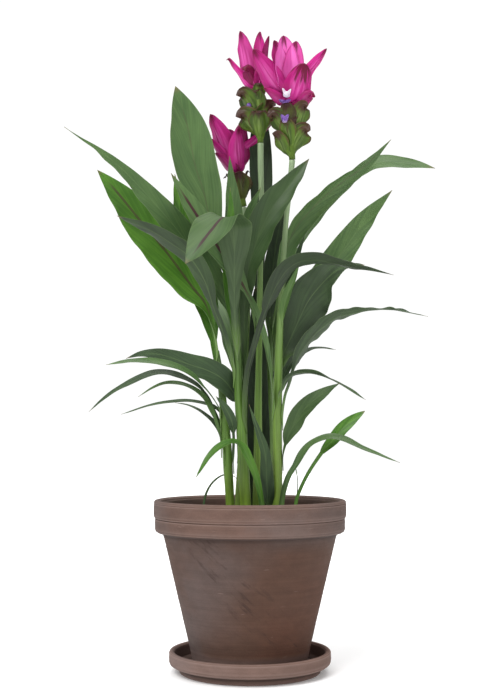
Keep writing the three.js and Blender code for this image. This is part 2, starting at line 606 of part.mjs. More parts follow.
    path: [[-14, 48, 335], [-24, 68, 385], [-36, 94, 415], [-48, 122, 425], [-58, 150, 412]] },
  { name: 'leaf_40', stem: 'stem_rear_right', side: 100, height: 240, width: 20,
    face: [0, -0.3, 1], finish: LEAF_DARK, stalk: 0.3,
    path: [[22, 50, 300], [26, 64, 330], [32, 86, 352], [38, 114, 352], [42, 140, 334]] },
  { name: 'leaf_41', soil: true, width: 23, inward: [0, -1, 0], face: [0, -1, 0],
    finish: LEAF_DARK, stalk: 0.02, footWidth: 13, footArc: 9, belly: 0.9, fullness: 0.45,
    path: [[10, 25, 155], [10, 25.5, 186], [10, 26, 240], [9, 26, 300], [8, 26, 360],
      [7, 25, 425]] },
];

// Blooms: cupped bracts set round a spike, in a frame of their own whose Z is the spike

// A bract's middle line, as shares of its reach and its rise: from a straight line, or a green
// bract's flaring one, to a fully bowed one
const PINK_LINES = [[[0.27, 0.30], [0.48, 0.22]], [[0.68, 0.68], [0.78, 0.66]]];
const GREEN_LINES = [
  [[0.20, 0.36], [0.50, 0.22]],
  [[0.44, 0.70], [0.70, 0.58]],
  [[0.74, 0.98], [0.80, 0.90]],
];
const GREEN_SHAPE = { steps: 6, belly: 1.25, point: 1.5 };
const PINK_SHAPE = { steps: 5, belly: 0.85, point: 1.0 };

function bractLine({ foot, rise, reach, curl, bow }, green) {
  const line = (green ? GREEN_LINES : PINK_LINES).map(([plain, bowed]) => {
    const share = [0, 1].map((k) => plain[k] + (bowed[k] - plain[k]) * bow);
    return [reach * share[0], rise * share[1]];
  });
  if (green) {
    line.push([reach, rise - curl]);
  } else {
    line.push([reach, rise - curl * 0.4]);
    if (curl > 0) line.push([reach + curl * 0.55, rise - curl]);
  }
  return [[1, 0], ...line].map(([out, up]) => [out, foot + up]);
}

// A bract leaves the spike at its foot height and rises to one side; its curl turns the tip down
// again, and its twist turns its face away from the side where it leans
function makeBract(bract, green) {
  const form = { curl: 0, roll: 0.95, twist: 0, bow: 1, fullness: 0.6, ...bract };
  const around = THREE.MathUtils.degToRad(form.turn);
  const facing = THREE.MathUtils.degToRad(form.turn + form.twist);
  const inward = new THREE.Vector3(-Math.cos(around), -Math.sin(around), 0);
  const line = bractLine(form, green).map(([out, up]) => {
    return [out * Math.cos(around), out * Math.sin(around), up];
  });
  const shape = green ? GREEN_SHAPE : PINK_SHAPE;
  return stripGeometry({
    ...STRIP,
    ...shape,
    width: form.width,
    footWidth: 3,
    footArc: 4,
    stalk: 0,
    fullness: form.fullness * shape.point,
    roll: form.roll,
    thickness: BRACT_THICKNESS,
    curve: curveThrough(line),
    normal: normalOf(inward, [-Math.cos(facing), -Math.sin(facing), 0]),
  });
}

function spike(from, to, radius) {
  return lathe([[0, from], [radius, from], [radius * 0.8, to], [0, to]], SPIKE_SIDES);
}

function bloomFrame(base, top) {
  const foot = new THREE.Vector3(...base);
  const along = new THREE.Vector3(...top).sub(foot).normalize();
  const turned = new THREE.Quaternion().setFromUnitVectors(UP, along);
  return new THREE.Matrix4().compose(foot, turned, new THREE.Vector3(1, 1, 1));
}

function makeHead(bloom, bracts, from, to, radius, green = false) {
  const pieces = [spike(from, to, radius), ...bracts.map((bract) => makeBract(bract, green))];
  const frame = bloomFrame(bloom.base, bloom.top);
  for (const piece of pieces) piece.applyMatrix4(frame);
  return fromSolid(joined(pieces));
}

const BLOOMS = [
  { number: 1, base: [12, 10, 587.4], top: [9, 14, 716], waist: 50, crown: 78, spike: 3.4,
    green: [
      { turn: -97, foot: 0, rise: 35, reach: 17, width: 23, curl: 5, bow: 0.2 },
      { turn: -170, foot: 1, rise: 32, reach: 28, width: 27, curl: 3, twist: 40, bow: -0.1 },
      { turn: -15, foot: 9, rise: 36, reach: 19, width: 25, curl: 3, twist: -45, bow: 0.2 },
      { turn: 92, foot: 8, rise: 32, reach: 17, width: 26 },
      { turn: -112, foot: 24, rise: 36, reach: 14, width: 18, curl: 5, bow: 0.2 },
      { turn: -170, foot: 26, rise: 32, reach: 27, width: 25, curl: 3, twist: 35, bow: 0.2 },
      { turn: -92, foot: 43, rise: 26, reach: 14, width: 14, curl: 6 },
      { turn: 105, foot: 32, rise: 30, reach: 15, width: 24 },
    ],
    pink: [
      { turn: -145, foot: 58, rise: 28, reach: 17, width: 20, curl: 5, twist: 45, bow: 0.2, fullness: 0.4 },
      { turn: 183, foot: 54, rise: 46, reach: 35, width: 11, curl: 3, twist: 35, bow: 0.4 },
      { turn: -158, foot: 58, rise: 71, reach: 22, width: 25, twist: 45 },
      { turn: 65, foot: 66, rise: 67, reach: 6, width: 19 },
      { turn: 5, foot: 66, rise: 60, reach: 13, width: 17, twist: -35 },
      { turn: -45, foot: 58, rise: 42, reach: 12, width: 24 },
      { turn: 120, foot: 58, rise: 48, reach: 14, width: 26 },
    ] },
  { number: 2, base: [47, -14, 562.8], top: [40, -20, 705], waist: 47, crown: 84, spike: 3.6,
    green: [
      { turn: 186, foot: 1, rise: 29, reach: 21, width: 17, twist: 40, bow: 0.5 },
      { turn: -32, foot: 1, rise: 30, reach: 25, width: 25, curl: 2, twist: -40, bow: -0.2 },
      { turn: -122, foot: 10, rise: 33, reach: 17, width: 19, curl: 5, bow: 0.2 },
      { turn: 90, foot: 10, rise: 32, reach: 16, width: 24 },
      { turn: -32, foot: 26, rise: 33, reach: 24, width: 23, curl: 2, twist: -35, bow: 0.4 },
      { turn: 188, foot: 18, rise: 34, reach: 26, width: 25, curl: 3, twist: 40, bow: 0 },
      { turn: 75, foot: 26, rise: 33, reach: 17, width: 24 },
      { turn: -112, foot: 31, rise: 33, reach: 15, width: 19, curl: 4, bow: 0.9 },
      { turn: -55, foot: 14, rise: 32, reach: 13, width: 16, curl: 1, bow: 0.5 },
      { turn: 8, foot: 18, rise: 25, reach: 17, width: 16, curl: 3, twist: -60, bow: 0.6 },
    ],
    pink: [
      { turn: -20, foot: 55, rise: 18, reach: 26, width: 20, curl: 7, twist: -40 },
      { turn: 190, foot: 64, rise: 60, reach: 38, width: 29, twist: 60, bow: 0.3 },
      { turn: -40, foot: 60, rise: 43, reach: 24, width: 36, roll: 0.8, twist: -30, fullness: 0.5 },
      { turn: 105, foot: 72, rise: 70, reach: 9, width: 28 },
      { turn: 150, foot: 70, rise: 67, reach: 15, width: 28, twist: -30 },
      { turn: 35, foot: 70, rise: 65, reach: 14, width: 29, twist: 40 },
      { turn: 2, foot: 64, rise: 59, reach: 45, width: 17, twist: -55, bow: -0.2 },
      { turn: 185, foot: 60, rise: 21, reach: 28, width: 17, twist: 25, bow: 0.6 },
      { turn: 110, foot: 58, rise: 44, reach: 22, width: 28 },
    ] },
  { number: 3, base: [-7, 31, 518.8], top: [-26, 27, 625], waist: 34, crown: 62, spike: 3.4,
    green: [
      { turn: -100, foot: 2, rise: 33, reach: 12, width: 23, curl: 3, bow: 0.5 },
      { turn: 0, foot: 7, rise: 28, reach: 13, width: 20, curl: 2, bow: 0.5 },
      { turn: 180, foot: 8, rise: 28, reach: 17, width: 20, curl: 4, bow: 0.5 },
      { turn: 90, foot: 4, rise: 28, reach: 12, width: 25 },
    ],
    pink: [
      { turn: -168, foot: 42, rise: 69, reach: 20, width: 30, twist: 50, bow: 0.6 },
      { turn: -50, foot: 38, rise: 50, reach: 15, width: 30 },
      { turn: -5, foot: 38, rise: 60, reach: 17, width: 30, twist: -50 },
      { turn: 185, foot: 38, rise: 46, reach: 25, width: 17, twist: 40, bow: 0.5 },
      { turn: 190, foot: 39, rise: 27, reach: 22, width: 19, twist: 25, bow: 0.7 },
      { turn: 95, foot: 42, rise: 52, reach: 13, width: 30 },
      { turn: 6, foot: 48, rise: 42, reach: 50, width: 12, twist: -30, bow: -0.4 },
    ] },
];

// Florets that open between the bracts, as small heads of petals
const FLORETS = [
  { name: 'floret_1', finish: FLORET_VIOLET, base: [-1, 9.7, 627], top: [-1, 5.2, 637], stalk: 1,
    petals: [{ turn: -95, foot: 0, rise: 7, reach: 3, width: 6 }] },
  { name: 'floret_2_white', finish: FLORET_WHITE, base: [40.5, -28.9, 629], top: [40.5, -33.4, 640],
    stalk: 1.6,
    petals: [
      { turn: 20, foot: 0, rise: 9, reach: 5, width: 8 },
      { turn: 160, foot: 0, rise: 10, reach: 5, width: 8 },
      { turn: -90, foot: 0, rise: 7, reach: 4, width: 8 },
    ] },
  { name: 'floret_2_lip', finish: FLORET_VIOLET, base: [38.5, -23.4, 623.9], top: [38.5, -27.4, 634.9],
    stalk: 1.4,
    petals: [{ turn: -90, foot: 0, rise: 4, reach: 11, width: 15 }] },
  { name: 'floret_2_lower', finish: FLORET_VIOLET, base: [38.2, -30, 600.5], top: [38.2, -33, 611],
    stalk: 1.4,
    petals: [
      { turn: -35, foot: 0, rise: 9, reach: 5, width: 9 },
      { turn: -145, foot: 0, rise: 9, reach: 5, width: 9 },
    ] },
];
const FLORET_THROAT = 4;

// Assembly

function makeSoil(buried) {
  const grown = buried.map((geometry) => toSolid(geometry));
  let soil = toSolid(makeSoilBlock());
  for (const solid of grown) {
    const box = solid.boundingBox();
    if (box.min[2] > SOIL_TOP + SOIL_LUMP * 2) continue;
    soil = soil.subtract(holeFor(solid));
  }
  return fromSolid(soil);
}

// A plain upright hole round the buried end of a stem or a leaf stalk
function holeFor(solid) {
  const buried = solid.trimByPlane([0, 0, -1], -(SOIL_TOP + SOIL_LUMP * 2));
  const box = buried.boundingBox();
  const middle = [(box.min[0] + box.max[0]) / 2, (box.min[1] + box.max[1]) / 2];
  const radius = Math.hypot(box.max[0] - box.min[0], box.max[1] - box.min[1]) / 2;
  const height = SOIL_TOP + SOIL_LUMP * 4 - (box.min[2] - SEAT_GAP);
  const corner = (radius + SEAT_GAP) / Math.cos(Math.PI / HOLE_SIDES);
  const hole = new THREE.CylinderGeometry(corner, corner, height, HOLE_SIDES);
  hole.rotateX(Math.PI / 2).translate(middle[0], middle[1], box.min[2] - SEAT_GAP + height / 2);
  return toSolid(hole);
}

addMesh('saucer', makeSaucer(), CLAY);
addMesh('pot', makePot(), CLAY);

const buried = [];
for (const [name, stem] of Object.entries(STEMS)) {
  const geometry = makeStem(stem);
  buried.push(geometry);
  addMesh(name, geometry, stem.finish);
}
for (const leaf of LEAVES) {
  const geometry = leaf.soil ? makeSoilLeaf(leaf) : makeStemLeaf(leaf);
  if (leaf.soil) buried.push(geometry);
  addMesh(leaf.name, geometry, leaf.finish);
}
addMesh('soil', makeSoil(buried), SOIL_BROWN);

for (const bloom of BLOOMS) {
  const { number, waist, crown, green, pink } = bloom;
  addMesh(`green_bracts_${number}`,
    makeHead(bloom, green, 0, waist, bloom.spike, true), BRACT_GREEN);
  addMesh(`pink_bracts_${number}`,
    makeHead(bloom, pink, waist + SEAT_GAP, crown, bloom.spike), BRACT_PINK);
}
for (const floret of FLORETS) {
  const { name, petals, stalk, finish } = floret;
  addMesh(name, makeHead(floret, petals, 0, FLORET_THROAT, stalk), finish);
}

export default plant;
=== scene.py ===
"""The looks of a potted Siam tulip: clay pot and saucer, soil, stems, leaves and three blooms.

Every piece is worked out in millimetres from the same lines as the CAD frame, as
surfaces on grids, and goes into Blender in metres in the frame's own axes: +Z up, front -Y.
"""

import logging
import math
from dataclasses import dataclass, field
from enum import Enum
from functools import reduce

import bpy
import numpy as np
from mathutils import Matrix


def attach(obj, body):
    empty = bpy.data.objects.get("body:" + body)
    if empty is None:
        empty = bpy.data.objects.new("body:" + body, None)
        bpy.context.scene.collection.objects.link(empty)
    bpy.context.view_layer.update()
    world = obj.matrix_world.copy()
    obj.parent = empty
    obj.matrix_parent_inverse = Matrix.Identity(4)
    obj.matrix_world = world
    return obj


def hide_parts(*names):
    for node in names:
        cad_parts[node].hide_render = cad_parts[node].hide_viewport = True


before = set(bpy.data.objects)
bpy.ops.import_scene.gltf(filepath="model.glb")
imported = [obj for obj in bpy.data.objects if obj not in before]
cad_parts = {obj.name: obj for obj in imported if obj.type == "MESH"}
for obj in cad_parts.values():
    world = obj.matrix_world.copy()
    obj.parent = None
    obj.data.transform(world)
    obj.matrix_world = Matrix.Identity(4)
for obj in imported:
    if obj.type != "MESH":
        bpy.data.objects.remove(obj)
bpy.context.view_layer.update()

LOG = logging.getLogger("siam_tulip")
MM = 0.001
BODY = "root"
SEED = 20260411

Vec = tuple[float, float, float]
Rgb = tuple[int, int, int]
Points = tuple[Vec, ...]


class LeafKind(Enum):
    """The material slots of the leaves."""

    GREEN = "leaf_green"
    BRIGHT = "leaf_bright"
    DARK = "leaf_dark"


class Stalk(Enum):
    """The material slots of the stems."""

    LEAFY = "stem"
    SCAPE = "scape"


class BractKind(Enum):
    """The material slots of bracts and petals."""

    GREEN = "bract_green"
    PINK = "bract_pink"
    WHITE = "floret_white"
    VIOLET = "floret_violet"


def smooth(share: np.ndarray | float) -> np.ndarray:
    """Gives 3t squared less 2t cubed, with t the share kept between 0 and 1."""
    t = np.clip(share, 0.0, 1.0)
    return t * t * (3.0 - 2.0 * t)


def unit(vectors: np.ndarray) -> np.ndarray:
    """Gives the vectors at length one."""
    return vectors / np.maximum(np.linalg.norm(vectors, axis=-1, keepdims=True), 1e-9)


def dot(first: np.ndarray, second: np.ndarray) -> np.ndarray:
    """Gives row by row dot products, kept as a column."""
    return np.sum(first * second, axis=-1, keepdims=True)


def level(vector: np.ndarray, along: np.ndarray) -> np.ndarray:
    """Takes out of a vector its part along another, and gives the rest at length one."""
    return unit(vector - along * dot(vector, along))


def turn_towards(
    normal: np.ndarray, target: Vec, along: np.ndarray, share: np.ndarray
) -> np.ndarray:
    """Turns normals round a line by a share of the angle between them and a target.

    The angle is that from the normal to the target, both square to the line; the turn is
    Rodrigues' formula for a vector square to its axis: n cos a + (axis x n) sin a.

    Args:
        normal: one normal a row, square to the line.
        target: the direction to turn to.
        along: the line's direction, one a row.
        share: how much of the turn each row takes.

    Returns:
        The turned normals.
    """
    wanted = level(np.broadcast_to(np.array(target, float), normal.shape), along)
    angle = np.arctan2(dot(np.cross(normal, wanted), along), dot(normal, wanted))
    angle = angle * np.reshape(share, (-1, 1))
    return normal * np.cos(angle) + np.cross(along, normal) * np.sin(angle)


class Curve:
    """A centripetal Catmull-Rom curve through points, read by parameter or by arc length."""

    FINE = 400
    NUDGE = 1e-4

    def __init__(self, points: Points | list) -> None:
        """Adds the two outer points, each as far beyond its end as the next one is within it.

        Args:
            points: what the curve goes through.
        """
        inner = np.array(points, float)
        first = 2 * inner[0] - inner[1]
        last = 2 * inner[-1] - inner[-2]
        self.points = np.vstack([first, inner, last])
        self.spans = len(inner) - 1
        steps = np.linspace(0, 1, self.FINE + 1)
        lengths = np.linalg.norm(np.diff(self.at(steps), axis=0), axis=1)
        self.run = np.concatenate([[0.0], np.cumsum(lengths)])
        self.steps = steps

    def at(self, share: np.ndarray) -> np.ndarray:
        """Gives points by parameter.

        Each span is a cubic between its two points, with end slopes from the three chords round
        it, each chord timed by the square root of its length.

        Args:
            share: parameters from 0 to 1.

        Returns:
            One point a row.
        """
        spot = np.clip(np.asarray(share, float), 0, 1) * self.spans
        span = np.minimum(spot.astype(int), self.spans - 1)
        w = (spot - span)[:, None]
        p0, p1, p2, p3 = (self.points[span + k] for k in range(4))
        d0, d1, d2 = (
            np.sqrt(np.linalg.norm(b - a, axis=1, keepdims=True))
            for a, b in ((p0, p1), (p1, p2), (p2, p3))
        )
        m1 = ((p1 - p0) / d0 - (p2 - p0) / (d0 + d1) + (p2 - p1) / d1) * d1
        m2 = ((p2 - p1) / d1 - (p3 - p1) / (d1 + d2) + (p3 - p2) / d2) * d1
        third = 2 * p1 - 2 * p2 + m1 + m2
        second = -3 * p1 + 3 * p2 - 2 * m1 - m2
        return p1 + w * (m1 + w * (second + w * third))

    def by_length(self, share: np.ndarray) -> np.ndarray:
        """Gives the parameters at shares of the curve's length."""
        return np.interp(share, self.run / self.run[-1], self.steps)

    def slope(self, parameter: np.ndarray) -> np.ndarray:
        """Gives the unit tangents at parameters."""
        return unit(self.at(parameter + self.NUDGE) - self.at(parameter - self.NUDGE))

    def at_height(self, height: float) -> float:
        """Gives the parameter at which a rising curve passes a height."""
        return float(np.interp(height, self.at(self.steps)[:, 2], self.steps))


@dataclass
class Surface:
    """Points in millimetres, four-cornered faces, and a value per point for each pattern."""

    points: np.ndarray
    faces: np.ndarray
    marks: dict[str, np.ndarray] = field(default_factory=dict)

    @staticmethod
    def joined(parts: list["Surface"]) -> "Surface":
        """Puts several surfaces into one, with the marks that the last one has.

        Args:
            parts: the surfaces.

        Returns:
            All of them as one surface.
        """
        starts = np.cumsum([0] + [len(part.points) for part in parts[:-1]])
        faces = [part.faces + start for part, start in zip(parts, starts)]
        return Surface(
            np.vstack([part.points for part in parts]),
            np.vstack(faces),
            {
                mark: np.concatenate([part.marks[mark] for part in parts])
                for mark in parts[-1].marks
            },
        )

    def placed(self, spin: np.ndarray, foot: np.ndarray) -> "Surface":
        """Gives the surface turned by a matrix and then moved to a foot."""
        return Surface(self.points @ spin.T + foot, self.faces, self.marks)


def cells(rows: int, columns: int, wrap: bool = False) -> np.ndarray:
    """Lists the four corners of each cell of a grid.

    Args:
        rows: the grid's rows.
        columns: its columns.
        wrap: joins the last column to the first.

    Returns:
        One face a row, as corner numbers, turned row by column.
    """
    grid = np.arange(rows * columns).reshape(rows, columns)
    if wrap:
        grid = np.hstack([grid, grid[:, :1]])
    corners = (grid[:-1, :-1], grid[:-1, 1:], grid[1:, 1:], grid[1:, :-1])
    return np.stack(corners, -1).reshape(-1, 4)


def closed_blade(
    points: np.ndarray, normals: np.ndarray, thickness: np.ndarray, marks: dict[str, np.ndarray]
) -> Surface:
    """Gives a grid two faces and a rim.

    The upper face is each point plus half its thickness along its normal, and the lower face
    minus it; four strips of cells close the sides and the ends.

    Args:
        points: rows by columns by 3, in millimetres.
        normals: the directions that the upper face looks in.
        thickness: the thickness at each point.
        marks: rows by columns of values; the mark "under" is added, 1 on the lower face.

    Returns:
        The closed surface.
    """
    rows, columns = points.shape[:2]
    half = normals * (thickness / 2)[..., None]
    count = rows * columns
    grid = np.arange(count).reshape(rows, columns)
    top = cells(rows, columns)
    rims = []
    for line in (grid[::-1, 0], grid[:, -1], grid[0, :], grid[-1, ::-1]):
        a, b = line[:-1], line[1:]
        rims.append(np.stack([b, a, a + count, b + count], -1))
    faces = np.vstack([top, top[:, ::-1] + count, *rims])
    both = {name: np.tile(value.ravel(), 2) for name, value in marks.items()}
    both["under"] = np.repeat([0.0, 1.0], count)
    sheet = np.concatenate([points + half, points - half]).reshape(-1, 3)
    return Surface(sheet, faces, both)


def put(name: str, surface: Surface, material: bpy.types.Material) -> bpy.types.Object:
    """Makes a smooth Blender object of a surface, with its marks as point attributes.

    Points at the same place become one, so poles close; a face then loses each corner that
    equals its next one, and a face of fewer than three corners is left out.

    Args:
        name: the object's name.
        surface: the surface, in millimetres.
        material: what it is made of.

    Returns:
        The object, at the origin, with its place in its mesh.
    """
    _, first, place = np.unique(
        np.round(surface.points, 4), axis=0, return_index=True, return_inverse=True
    )
    faces = place.reshape(-1)[surface.faces]
    kept = faces != np.roll(faces, -1, axis=1)
    whole = kept.sum(axis=1) >= 3
    faces, kept = faces[whole], kept[whole]
    corners, sizes = faces[kept], kept.sum(axis=1)
    mesh = bpy.data.meshes.new(name)
    mesh.vertices.add(len(first))
    mesh.vertices.foreach_set("co", (surface.points[first] * MM).astype(np.float32).ravel())
    mesh.loops.add(len(corners))
    mesh.loops.foreach_set("vertex_index", corners.astype(np.int32))
    mesh.polygons.add(len(sizes))
    starts = np.concatenate([[0], np.cumsum(sizes)[:-1]])
    mesh.polygons.foreach_set("loop_start", starts.astype(np.int32))
    for mark, values in surface.marks.items():
        layer = mesh.attributes.new(mark, "FLOAT", "POINT")
        layer.data.foreach_set("value", values[first].astype(np.float32))
    mesh.update(calc_edges=True)
    mesh.validate()
    mesh.shade_smooth()
    mesh.materials.append(material)
    piece = bpy.data.objects.new(name, mesh)
    bpy.context.scene.collection.objects.link(piece)
    return piece


def stand_for(piece: bpy.types.Object, node: str) -> None:
    """Rides a piece on the plant's body, in place of a CAD node.

    Args:
        piece: the Blender object.
        node: the CAD node's name.
    """
    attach(piece, BODY)
    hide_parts(node)
    LOG.info("%s: %d faces for %s", piece.name, len(piece.data.polygons), node)


# Materials: a short way to write node trees, and the plant's finishes


Socket = bpy.types.NodeSocket
Value = Socket | float
Feeds = dict[int | str, object]


def tint(color: Rgb) -> tuple[float, float, float, float]:
    """Gives a display colour as linear light: (c + 0.055) / 1.055 to the 2.4, or c / 12.92.

    Args:
        color: red, green and blue of 0 to 255.

    Returns:
        The colour's linear parts of 0 to 1, and a full alpha.
    """
    share = np.array(color, float) / 255
    linear = np.where(share <= 0.04045, share / 12.92, ((share + 0.055) / 1.055) ** 2.4)
    return (*(float(part) for part in linear), 1.0)


class Graph:
    """A material's nodes, with one short call for each kind that the finishes use."""

    NOISE_SPAN = (0.3, 0.7)
    GLOW_RADIUS = (1.0, 0.4, 0.5)
    GLOW_DEPTH = 0.002

    def __init__(self, name: str) -> None:
        """Starts a material with its shader and its object coordinates.

        Args:
            name: the material's name.
        """
        self.material = bpy.data.materials.new(name)
        self.material.use_nodes = True
        self.tree = self.material.node_tree
        self.shader = self.tree.nodes["Principled BSDF"]
        self.place = self.node("ShaderNodeTexCoord", {}).outputs["Object"]
        self.color: Socket | None = None

    def node(self, kind: str, feeds: Feeds, **settings: object) -> bpy.types.Node:
        """Adds a node.

        Args:
            kind: the node's type.
            feeds: what goes into its inputs.
            settings: its properties.

        Returns:
            The node.
        """
        made = self.tree.nodes.new(kind)
        for setting, value in settings.items():
            setattr(made, setting, value)
        self.feed(made, feeds)
        return made

    def feed(self, node: bpy.types.Node, feeds: Feeds) -> None:
        """Links a node's inputs to sockets, or sets them to numbers, vectors or colours.

        Args:
            node: the node.
            feeds: what goes into each input, by the input's number or name.
        """
        for key, value in feeds.items():
            if isinstance(value, Socket):
                self.tree.links.new(value, node.inputs[key])
            else:
                node.inputs[key].default_value = value

    def mark(self, name: str) -> Socket:
        """Reads one of the piece's point attributes."""
        return self.node("ShaderNodeAttribute", {}, attribute_name=name).outputs["Fac"]

    def math(self, operation: str, first: Value, second: Value = 0.0) -> Socket:
        """Works out one number from one or two others."""
        return self.node("ShaderNodeMath", {0: first, 1: second}, operation=operation).outputs[0]

    def add(self, first: Value, second: Value) -> Socket:
        """Adds two values."""
        return self.math("ADD", first, second)

    def rest(self, value: Value) -> Socket:
        """Takes a value from one."""
        return self.math("SUBTRACT", 1.0, value)

    def size(self, value: Value) -> Socket:
        """Drops a value's sign."""
        return self.math("ABSOLUTE", value)

    def times(self, *values: Value) -> Value:
        """Multiplies values together."""
        return reduce(lambda whole, value: self.math("MULTIPLY", whole, value), values)

    def band(
        self, value: Value, low: float, high: float, start: float = 0.0, end: float = 1.0
    ) -> Socket:
        """Carries a value from low to high smoothly onto start to end.

        Args:
            value: what is read.
            low: where it starts to change; above high, it falls instead.
            high: where it is fully changed.
            start: the number given at low.
            end: the number given at high.

        Returns:
            The new number.
        """
        if low > high:
            low, high, start, end = high, low, end, start
        feeds = dict(enumerate((value, low, high, start, end)))
        made = self.node("ShaderNodeMapRange", feeds, interpolation_type="SMOOTHSTEP")
        return made.outputs[0]

    def spread(self, noise: Socket, low: float, high: float) -> Socket:
        """Carries soft noise, which mostly keeps to its middle span, onto low to high."""
        return self.band(noise, *self.NOISE_SPAN, low, high)

    def mix(self, share: Value, first: object, second: object) -> Socket:
        """Mixes two colours, given as sockets or display colours.

        Args:
            share: how much of the second colour there is.
            first: the first colour.
            second: the second colour.

        Returns:
            The mixed colour.
        """
        colors = [part if isinstance(part, Socket) else tint(part) for part in (first, second)]
        feeds = {0: share, 6: colors[0], 7: colors[1]}
        return self.node("ShaderNodeMix", feeds, data_type="RGBA").outputs[2]

    def paint(self, color: object, *shares: Value) -> None:
        """Lays a colour over the base colour, as far as the product of its shares."""
        self.color = self.mix(self.times(*shares), self.color, color)

    def shade(self, value: Value) -> None:
        """Makes the base colour lighter or darker by a factor."""
        feeds = {0: self.color, "Scale": value}
        self.color = self.node("ShaderNodeVectorMath", feeds, operation="SCALE").outputs[0]

    def vary(self, noise: Socket, low: float, high: float) -> None:
        """Makes the base colour lighter or darker with soft noise, by factors low to high."""
        self.shade(self.spread(noise, low, high))

    def tone(self, share: float) -> None:
        """Makes the base colour lighter or darker by the mark "tone", as far as a share."""
        self.shade(self.add(1.0, self.times(self.mark("tone"), share)))

    def parts(self) -> tuple[Socket, Socket, Socket]:
        """Gives the object coordinates as three numbers, in metres."""
        return tuple(self.node("ShaderNodeSeparateXYZ", {0: self.place}).outputs)

    def mapped(self, scale: Vec, turn: Vec = (0, 0, 0)) -> Socket:
        """Gives the object coordinates turned and then stretched.

        Args:
            scale: how often a pattern repeats in a metre, on each axis.
            turn: the turn about each axis, in degrees.

        Returns:
            The place to read a pattern at.
        """
        feeds = {
            "Vector": self.place,
            "Rotation": tuple(math.radians(-angle) for angle in turn),
            "Scale": tuple(1.0 / part for part in scale),
        }
        return self.node("ShaderNodeMapping", feeds, vector_type="TEXTURE").outputs[0]

    def noise(
        self, place: Socket, scale: float = 1.0, detail: float = 3.0, rough: float = 0.55
    ) -> Socket:
        """Reads soft noise at a place."""
        feeds = {"Vector": place, "Scale": scale, "Detail": detail, "Roughness": rough}
        return self.node("ShaderNodeTexNoise", feeds).outputs[0]

    def streaks(
        self, across: Socket, along: Socket, offset: Socket, scale: tuple[float, float],
        detail: float,
    ) -> Socket:
        """Reads soft noise that is stretched along a blade.

        Args:
            across: the mark that the streaks lie side by side on.
            along: the mark that they follow.
            offset: the piece's own place in the noise.
            scale: how often the noise changes with each of the two marks.
            detail: how fine the noise goes.

        Returns:
            The noise.
        """
        feeds = {0: self.times(across, scale[0]), 1: self.times(along, scale[1]), 2: offset}
        return self.noise(self.node("ShaderNodeCombineXYZ", feeds).outputs[0], 1.0, detail)

    def bump(self, height: Value, depth: float, strength: float) -> None:
        """Gives the shader a relief of so many metres."""
        feeds = {"Height": height, "Distance": depth, "Strength": strength}
        self.feed(self.shader, {"Normal": self.node("ShaderNodeBump", feeds).outputs[0]})

    def finish(
        self, roughness: Value, gloss: float, glow_through: float = 0.0
    ) -> bpy.types.Material:
        """Sets the shader's colour and surface, and gives the material.

        Args:
            roughness: a number or a socket.
            gloss: the specular level.
            glow_through: how much light passes under the surface.

        Returns:
            The finished material.
        """
        feeds = {"Base Color": self.color, "Roughness": roughness, "Specular IOR Level": gloss}
        if glow_through:
            feeds |= {
                "Subsurface Weight": glow_through,
                "Subsurface Radius": self.GLOW_RADIUS,
                "Subsurface Scale": self.GLOW_DEPTH,
            }
        self.feed(self.shader, feeds)
        return self.material


